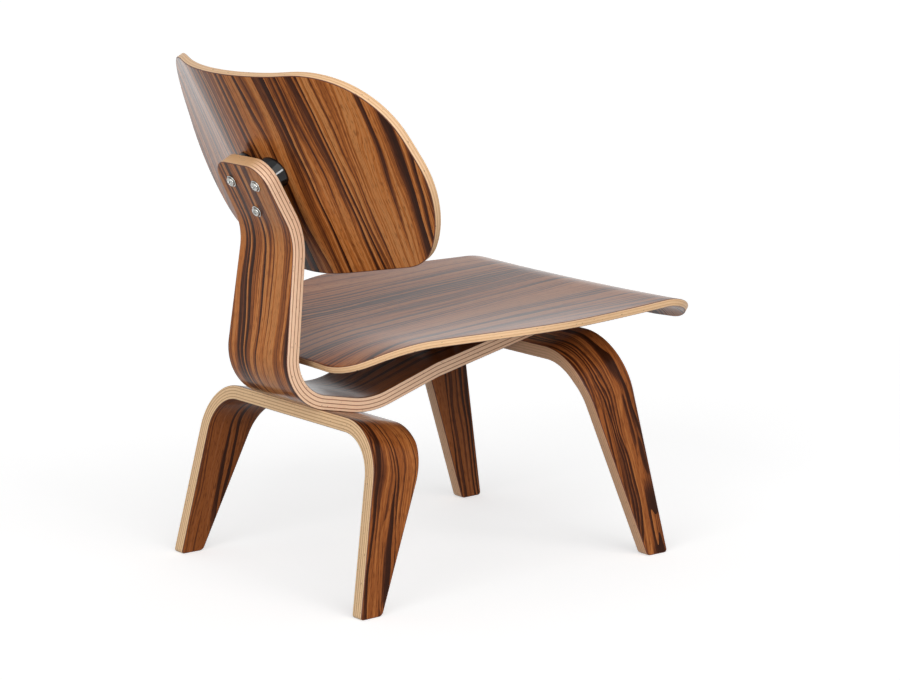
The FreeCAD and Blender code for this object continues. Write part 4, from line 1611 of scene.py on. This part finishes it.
@dataclass
class Fasteners:
    """Cross-recessed pan head screws and their washers, set out by Geometry Nodes."""

    spine: Spine
    mounts: RubberMounts
    front_ply: float
    rear_ply: float
    screw_radius: float = 3.0
    thread_turns: int = 24
    thread_root: float = 0.86
    thread_tip: float = 0.7
    shank_lap: float = 0.0005
    shank_segments: int = 24
    head_radius: float = 6.4
    head_height: float = 3.6
    head_rim: float = 0.38
    head_dome: float = 2.6
    head_ease: float = 0.3
    head_rings: int = 26
    washer_radius: float = 8.0
    washer_thickness: float = 1.4
    washer_play: float = 0.3
    washer_ease: float = 0.25
    recess_half: float = 0.85
    recess_reach: float = 3.6
    recess_depth: float = 2.2
    recess_root: float = 1.25
    recess_narrowing: float = 0.5
    recess_wall: float = 0.35
    recess_end: float = 0.6
    recess_rise: float = 0.35
    leg_screw_half: float = 38.0
    leg_screw_set: float = 18.0
    insert_length: float = 6.0
    leg_insert_length: float = 12.0
    tip_gap: float = 1.0
    segments: int = 64
    seed: int = 7

    def lathe(self, name: str, profile: Sequence[Point], segments: int) -> bpy.types.Object:
        """Turned shape about Z.

        Args:
            name: Name of the shape.
            profile: Radius and height of its rings; a radius of zero closes it.
            segments: Faces round it.

        Returns:
            The new object, with no material.
        """
        shape = Shape()
        turns = [math.tau * k / segments for k in range(segments)]
        loops = []
        for radius, height in profile:
            rays = [(math.cos(t), math.sin(t)) for t in turns] if radius else [(0.0, 0.0)]
            loops.append([shape.point(Vector((radius * x, radius * y, height))) for x, y in rays])
        for lower, upper in zip(loops, loops[1:]):
            shape.band(lower, upper)
        return shape.make(name, [])

    def recess(self, x: float, y: float) -> float:
        """Depth of the cross recess.

        Args:
            x: Place on the head, along one slot.
            y: Place on it, along the other slot.

        Returns:
            The depth there.
        """
        near, far = sorted((abs(x), abs(y)))
        out = far / self.recess_reach
        half = self.recess_half * (self.recess_root - out * self.recess_narrowing)
        wall = min(max((half - near) / self.recess_wall, 0.0), 1.0)
        end = min(max((self.recess_reach - far) / self.recess_end, 0.0), 1.0)
        return self.recess_depth * wall * end * (1 - self.recess_rise * out)

    def head(self) -> bpy.types.Object:
        """Pan head about Z, its washer face at zero and its dome downwards.

        Returns:
            The new object, with no material.
        """
        radius, height, ease = self.head_radius, self.head_height, self.head_ease
        rim = height * self.head_rim
        dome = []
        for k in range(1, self.head_rings + 1):
            share = k / self.head_rings
            rise = math.sqrt(max(0.0, 1 - share ** self.head_dome))
            dome.append((radius * share, -rim - (height - rim) * rise))
        profile = [(0.0, -height)] + dome + [(radius, -ease), (radius - ease, 0.0), (0.0, 0.0)]
        head = self.lathe("screw head", profile, self.segments)
        for vertex in head.data.vertices:
            x, y, z = vertex.co / MM
            if z < -rim:
                vertex.co.z += self.recess(x, y) * MM
        return head

    def shank(self) -> bpy.types.Object:
        """Threaded shank one metre long, on Z; its turns shrink with it to the screw's length.

        Returns:
            The new object, with no material.
        """
        radius, turns = self.screw_radius, self.thread_turns
        profile = [(0.0, -self.shank_lap / MM)]
        for k in range(turns):
            profile += [(radius * self.thread_root, (k / turns) / MM), (radius, ((k + 0.5) / turns) / MM)]
        profile += [(radius * self.thread_tip, 1 / MM), (0.0, 1 / MM)]
        return self.lathe("screw shank", profile, self.shank_segments)

    def washer(self) -> bpy.types.Object:
        """Flat washer about Z with eased edges, from zero upwards.

        Returns:
            The new object, with no material.
        """
        outer, inner = self.washer_radius, self.screw_radius + self.washer_play
        thick, ease = self.washer_thickness, self.washer_ease
        ring = [
            (inner, 0.0), (outer - ease, 0.0), (outer, ease), (outer, thick - ease),
            (outer - ease, thick), (inner, thick), (inner, 0.0),
        ]
        washer = self.lathe("washer", ring, self.segments)
        work = bmesh.new()
        work.from_mesh(washer.data)
        bmesh.ops.remove_doubles(work, verts=work.verts, dist=1e-7)
        bmesh.ops.recalc_face_normals(work, faces=work.faces)
        work.to_mesh(washer.data)
        work.free()
        return washer

    def tree(self) -> tuple[bpy.types.NodeTree, dict[str, str]]:
        """Node tree that sets a head on each point and stretches a shank to its grip.

        Returns:
            The tree, and the identifiers of its inputs by name.
        """
        tree = bpy.data.node_groups.new("set fasteners", "GeometryNodeTree")
        sockets = {}
        for name, kind in (
            ("Spots", "NodeSocketGeometry"), ("Head", "NodeSocketObject"), ("Shank", "NodeSocketObject"),
            ("Seed", "NodeSocketInt"), ("Finish", "NodeSocketMaterial"),
        ):
            sockets[name] = tree.interface.new_socket(name, in_out="INPUT", socket_type=kind).identifier
        tree.interface.new_socket("Fasteners", in_out="OUTPUT", socket_type="NodeSocketGeometry")
        given = add(tree, "NodeGroupInput").outputs
        points = add(tree, "GeometryNodeMeshToPoints", {"Mesh": given["Spots"]}).outputs[0]
        axis, grip = (
            add(tree, "GeometryNodeInputNamedAttribute", {"Name": name}, data_type=kind).outputs["Attribute"]
            for name, kind in (("axis", "FLOAT_VECTOR"), ("grip", "FLOAT"))
        )
        twist = add(
            tree, "FunctionNodeRandomValue", {2: 0.0, 3: math.pi, "Seed": given["Seed"]}, data_type="FLOAT"
        ).outputs[1]
        spun = add(
            tree, "FunctionNodeAxisAngleToRotation", {"Axis": (0.0, 0.0, 1.0), "Angle": twist}
        ).outputs["Rotation"]
        turned = add(
            tree, "FunctionNodeAlignRotationToVector", {"Rotation": spun, "Vector": axis}, axis="Z"
        ).outputs["Rotation"]
        joined = add(tree, "GeometryNodeJoinGeometry")
        for name, scale in (("Head", 1.0), ("Shank", grip)):
            source = add(tree, "GeometryNodeObjectInfo", {"Object": given[name]}).outputs["Geometry"]
            stretch = add(tree, "ShaderNodeCombineXYZ", {"X": 1.0, "Y": 1.0, "Z": scale})
            placed = add(tree, "GeometryNodeInstanceOnPoints", {
                "Points": points, "Instance": source, "Rotation": turned, "Scale": stretch.outputs[0],
            }).outputs[0]
            tree.links.new(placed, joined.inputs[0])
        real = add(tree, "GeometryNodeRealizeInstances", {"Geometry": joined.outputs[0]}).outputs[0]
        done = add(tree, "GeometryNodeSetMaterial", {"Geometry": real, "Material": given["Finish"]}).outputs[0]
        add(tree, "NodeGroupOutput", {0: done})
        return tree, sockets

    def groups(self) -> dict[str, tuple[Matrix, list[Point], float, float, list[str], str]]:
        """Sets out the groups of fasteners.

        Returns:
            Frame, places, level of the face, grip, screw nodes and washer node of each group.
        """
        spine, mounts = self.spine, self.mounts
        fronts = [(side * mounts.pad_half_spread, mounts.pad_front_set) for side in (1, -1)]
        rears = [(side * mounts.pad_half_spread, mounts.pad_rear_set) for side in (1, -1)]
        legs = [(side * self.leg_screw_half, -self.leg_screw_set) for side in (1, -1)]
        backs = [(across, up) for _, across, up in mounts.back_spots]
        through = spine.ply + self.insert_length
        sides = ("left", "right")
        return {
            "back": (
                spine.mount, backs, -spine.ply, through,
                ["back_screw_" + place for place, _, _ in mounts.back_spots], "back_washers",
            ),
            "front_leg": (
                spine.front, fronts, -self.front_ply, through + self.front_ply,
                ["front_leg_screw_" + side for side in sides], "front_leg_washers",
            ),
            "seat": (
                spine.front, rears, 0.0, through, ["seat_screw_" + side for side in sides], "seat_washers",
            ),
            "rear_leg": (
                spine.rear, legs, -self.rear_ply, self.rear_ply + self.leg_insert_length,
                ["rear_leg_screw_" + side for side in sides], "rear_leg_washers",
            ),
        }

    def set_out(
        self, name: str, place: Matrix, spots: Sequence[Point], level: float, grip: float,
        parts: tuple[bpy.types.Object, bpy.types.Object],
    ) -> bpy.types.Object:
        """Sets fasteners on points and turns the result into a plain mesh.

        Args:
            name: Name of the piece.
            place: Frame of the points, with the fasteners along its Z.
            spots: Places in the frame's X-Y plane.
            level: Level of the points in the frame.
            grip: Length of the shanks.
            parts: The head or washer, and the shank.

        Returns:
            The new piece.
        """
        mesh = bpy.data.meshes.new(name + "_spots")
        mesh.from_pydata([place @ Vector((x, y, level)) * MM for x, y in spots], [], [])
        axis = place.to_3x3() @ Vector((0, 0, 1))
        mesh.attributes.new("axis", "FLOAT_VECTOR", "POINT").data.foreach_set("vector", list(axis) * len(spots))
        mesh.attributes.new("grip", "FLOAT", "POINT").data.foreach_set("value", [grip * MM] * len(spots))
        holder = new_object(name + "_spots", mesh)
        modifier = holder.modifiers.new("set fasteners", "NODES")
        modifier.node_group = self.node_tree
        head, shank = parts
        for key, value in (("Head", head), ("Shank", shank), ("Seed", self.seed), ("Finish", self.steel)):
            modifier[self.sockets[key]] = value
        plain = bpy.data.meshes.new_from_object(holder.evaluated_get(bpy.context.evaluated_depsgraph_get()))
        bpy.data.objects.remove(holder)
        plain.name = name
        return new_object(name, plain)

    def build(self) -> list[bpy.types.Object]:
        """Builds the screws and washers of each group.

        Returns:
            The new pieces.
        """
        self.steel = PLATED_STEEL.material()
        self.node_tree, self.sockets = self.tree()
        head, shank, washer = self.head(), self.shank(), self.washer()
        bare = bpy.data.objects.new("no shank", bpy.data.meshes.new("no shank"))
        pieces = []
        for name, (place, spots, face, grip, screws, washers) in self.groups().items():
            level = face - self.washer_thickness
            length = self.washer_thickness + grip - self.tip_gap
            made = self.set_out(name + "_screws", place, spots, level, length, (head, shank))
            pieces.append(seat_piece(made, Body.FRAME, Slot.STEEL, *screws))
            made = self.set_out(name + "_washer_rings", place, spots, level, length, (washer, bare))
            pieces.append(seat_piece(made, Body.FRAME, Slot.STEEL, washers))
        for source in (head, shank, washer, bare):
            bpy.data.objects.remove(source)
        return pieces


@dataclass
class Inserts:
    """Threaded inserts, whose shape in the frame is right as it is."""

    nodes: tuple[str, ...] = ("back_mount_inserts", "seat_mount_inserts", "rear_leg_inserts")

    def build(self) -> list[bpy.types.Object]:
        """Dresses the inserts in brass.

        Returns:
            The inserts' own objects.
        """
        brass = TURNED_BRASS.material()
        pieces = []
        for node in self.nodes:
            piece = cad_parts[node]
            piece.data.materials.clear()
            piece.data.materials.append(brass)
            pieces.append(piece)
        return pieces


# Studio


@dataclass(frozen=True)
class Lamp:
    """Lamp, placed by the direction that its light comes from."""

    name: str
    azimuth: float
    elevation: float
    power: float
    spread: float


@dataclass
class Studio:
    """White floor and surroundings, two soft lamps, a small one for glints, and a camera.

    The camera stands at the photograph's viewing angle.
    """

    azimuth: float = 232.66
    elevation: float = 11.59
    roll: float = -0.66
    focal_pixels: float = 3263.46
    frame_width: float = 900.0
    distance: float = 4289.0
    target: tuple[float, float, float] = (0.0, -43.56, 278.62)
    sensor: float = 36.0
    sight: float = 100000.0
    sky: float = 0.35
    floor_half: float = 9000.0
    floor_level: float = -0.2
    floor_seen: str = "#e6e6e6"
    floor_unseen: str = "#585858"
    floor_rough: float = 0.95
    floor_glow: float = 0.52
    lamps: tuple[Lamp, ...] = (
        Lamp("lamp_left", 205.0, 16.0, 1.35, 40.0),
        Lamp("lamp_right", 262.0, 26.0, 1.25, 60.0),
        Lamp("lamp_small", 267.7, 4.9, 0.5, 11.0),
    )

    @staticmethod
    def facing(azimuth: float, elevation: float) -> Vector:
        """Direction from the chair to a camera or lamp at these angles."""
        a, e = math.radians(azimuth), math.radians(elevation)
        return Vector((math.sin(a) * math.cos(e), -math.cos(a) * math.cos(e), math.sin(e)))

    def camera(self) -> None:
        """Sets up the camera at the photograph's viewing angle."""
        back = self.facing(self.azimuth, self.elevation)
        a, r = math.radians(self.azimuth), math.radians(self.roll)
        right = Vector((math.cos(a), math.sin(a), 0.0))
        up = back.cross(right)
        axes = (right * math.cos(r) + up * math.sin(r), up * math.cos(r) - right * math.sin(r), back)
        data = bpy.data.cameras.new("camera")
        data.sensor_width = self.sensor
        data.lens = self.focal_pixels / self.frame_width * self.sensor
        data.clip_end = self.sight * MM
        camera = new_object("camera", data)
        turn = Matrix(axes).transposed().to_4x4()
        camera.matrix_world = Matrix.Translation((Vector(self.target) + back * self.distance) * MM) @ turn
        bpy.context.scene.camera = camera

    @staticmethod
    def seen(tree: bpy.types.NodeTree) -> bpy.types.NodeSocket:
        """Tells rays that show the surroundings from rays that light the chair.

        Args:
            tree: Tree that gets the nodes.

        Returns:
            One where a ray comes from the camera, a reflection or a clear surface, else zero.
        """
        path = add(tree, "ShaderNodeLightPath").outputs
        seen = path["Is Camera Ray"]
        for ray in ("Is Glossy Ray", "Is Transmission Ray"):
            seen = add(tree, "ShaderNodeMath", {0: seen, 1: path[ray]}, operation="MAXIMUM").outputs[0]
        return seen

    def floor(self) -> None:
        """White paper floor, lit so that it shows white and keeps a soft shadow of the chair."""
        shape = Shape()
        half = self.floor_half
        corners = ((-half, -half), (half, -half), (half, half), (-half, half))
        shape.face([shape.point(Vector((x, y, self.floor_level))) for x, y in corners])
        material, tree, shader = new_material("white paper floor")
        seen = self.seen(tree)
        shades = {0: seen, 6: linear(self.floor_unseen), 7: linear(self.floor_seen)}
        paper = add(tree, "ShaderNodeMix", shades, data_type="RGBA").outputs[2]
        glow = add(tree, "ShaderNodeMath", {0: seen, 1: self.floor_glow}, operation="MULTIPLY").outputs[0]
        connect(tree, shader, {
            "Base Color": paper,
            "Roughness": self.floor_rough,
            "Specular IOR Level": 0.0,
            "Emission Color": WHITE,
            "Emission Strength": glow,
        })
        shape.make("floor", [material])

    def light(self) -> None:
        """Lights the chair with a soft sky and the lamps."""
        world = bpy.data.worlds.new("white surroundings")
        bpy.context.scene.world = world
        world.use_nodes = True
        tree = world.node_tree
        levels = {"Value": self.seen(tree), "To Min": self.sky, "To Max": 1.0}
        strength = add(tree, "ShaderNodeMapRange", levels).outputs[0]
        connect(tree, tree.nodes["Background"], {"Color": WHITE, "Strength": strength})
        for lamp in self.lamps:
            data = bpy.data.lights.new(lamp.name, "SUN")
            data.energy = lamp.power
            data.angle = math.radians(lamp.spread)
            holder = new_object(lamp.name, data)
            holder.rotation_mode = "QUATERNION"
            towards = self.facing(lamp.azimuth, lamp.elevation)
            holder.rotation_quaternion = (-towards).to_track_quat("-Z", "Y")

    def build(self) -> None:
        """Sets up the camera, the floor and the light."""
        self.camera()
        self.floor()
        self.light()
        bpy.context.scene.view_settings.view_transform = "Standard"


def main() -> None:
    """Builds the chair piece by piece, then the studio."""
    logging.basicConfig(level=logging.INFO, format="%(name)s: %(message)s")
    spine = Spine()
    rear_arch = LegArch(
        "rear_leg_arch", 17.3, "#8f5027", "#f0cc9e", spine.rear, lean=spine.rear_rake, ply=18.4,
        half_flat=120.0, bend=73.6, splay=5.9, top_back=17.6, top_ahead=59.7, shoulder=18.5, foot=33.1,
    )
    # The front arch's edge colour #dcab84 is painted shade: the same birch ply as the rear arch's edge, made
    # darker because it lies under the seat.
    front_arch = LegArch(
        "front_leg_arch", 21.9, "#96572e", "#dcab84", spine.front, lean=-spine.front_rake, ply=18.8,
        half_flat=109.0, bend=80.3, splay=5.1, top_back=51.6, top_ahead=20.3, shoulder=42.0, foot=33.4,
    )
    mounts = RubberMounts(spine)
    parts = [
        spine,
        rear_arch,
        front_arch,
        SeatShell(spine),
        BackShell(spine),
        mounts,
        Fasteners(spine, mounts, front_arch.ply, rear_arch.ply),
        Inserts(),
    ]
    for part in parts:
        for piece in part.build():
            LOG.info("%s: %d faces", piece.name, len(piece.data.polygons))
    Studio().build()


if __name__ == "__main__":
    main()
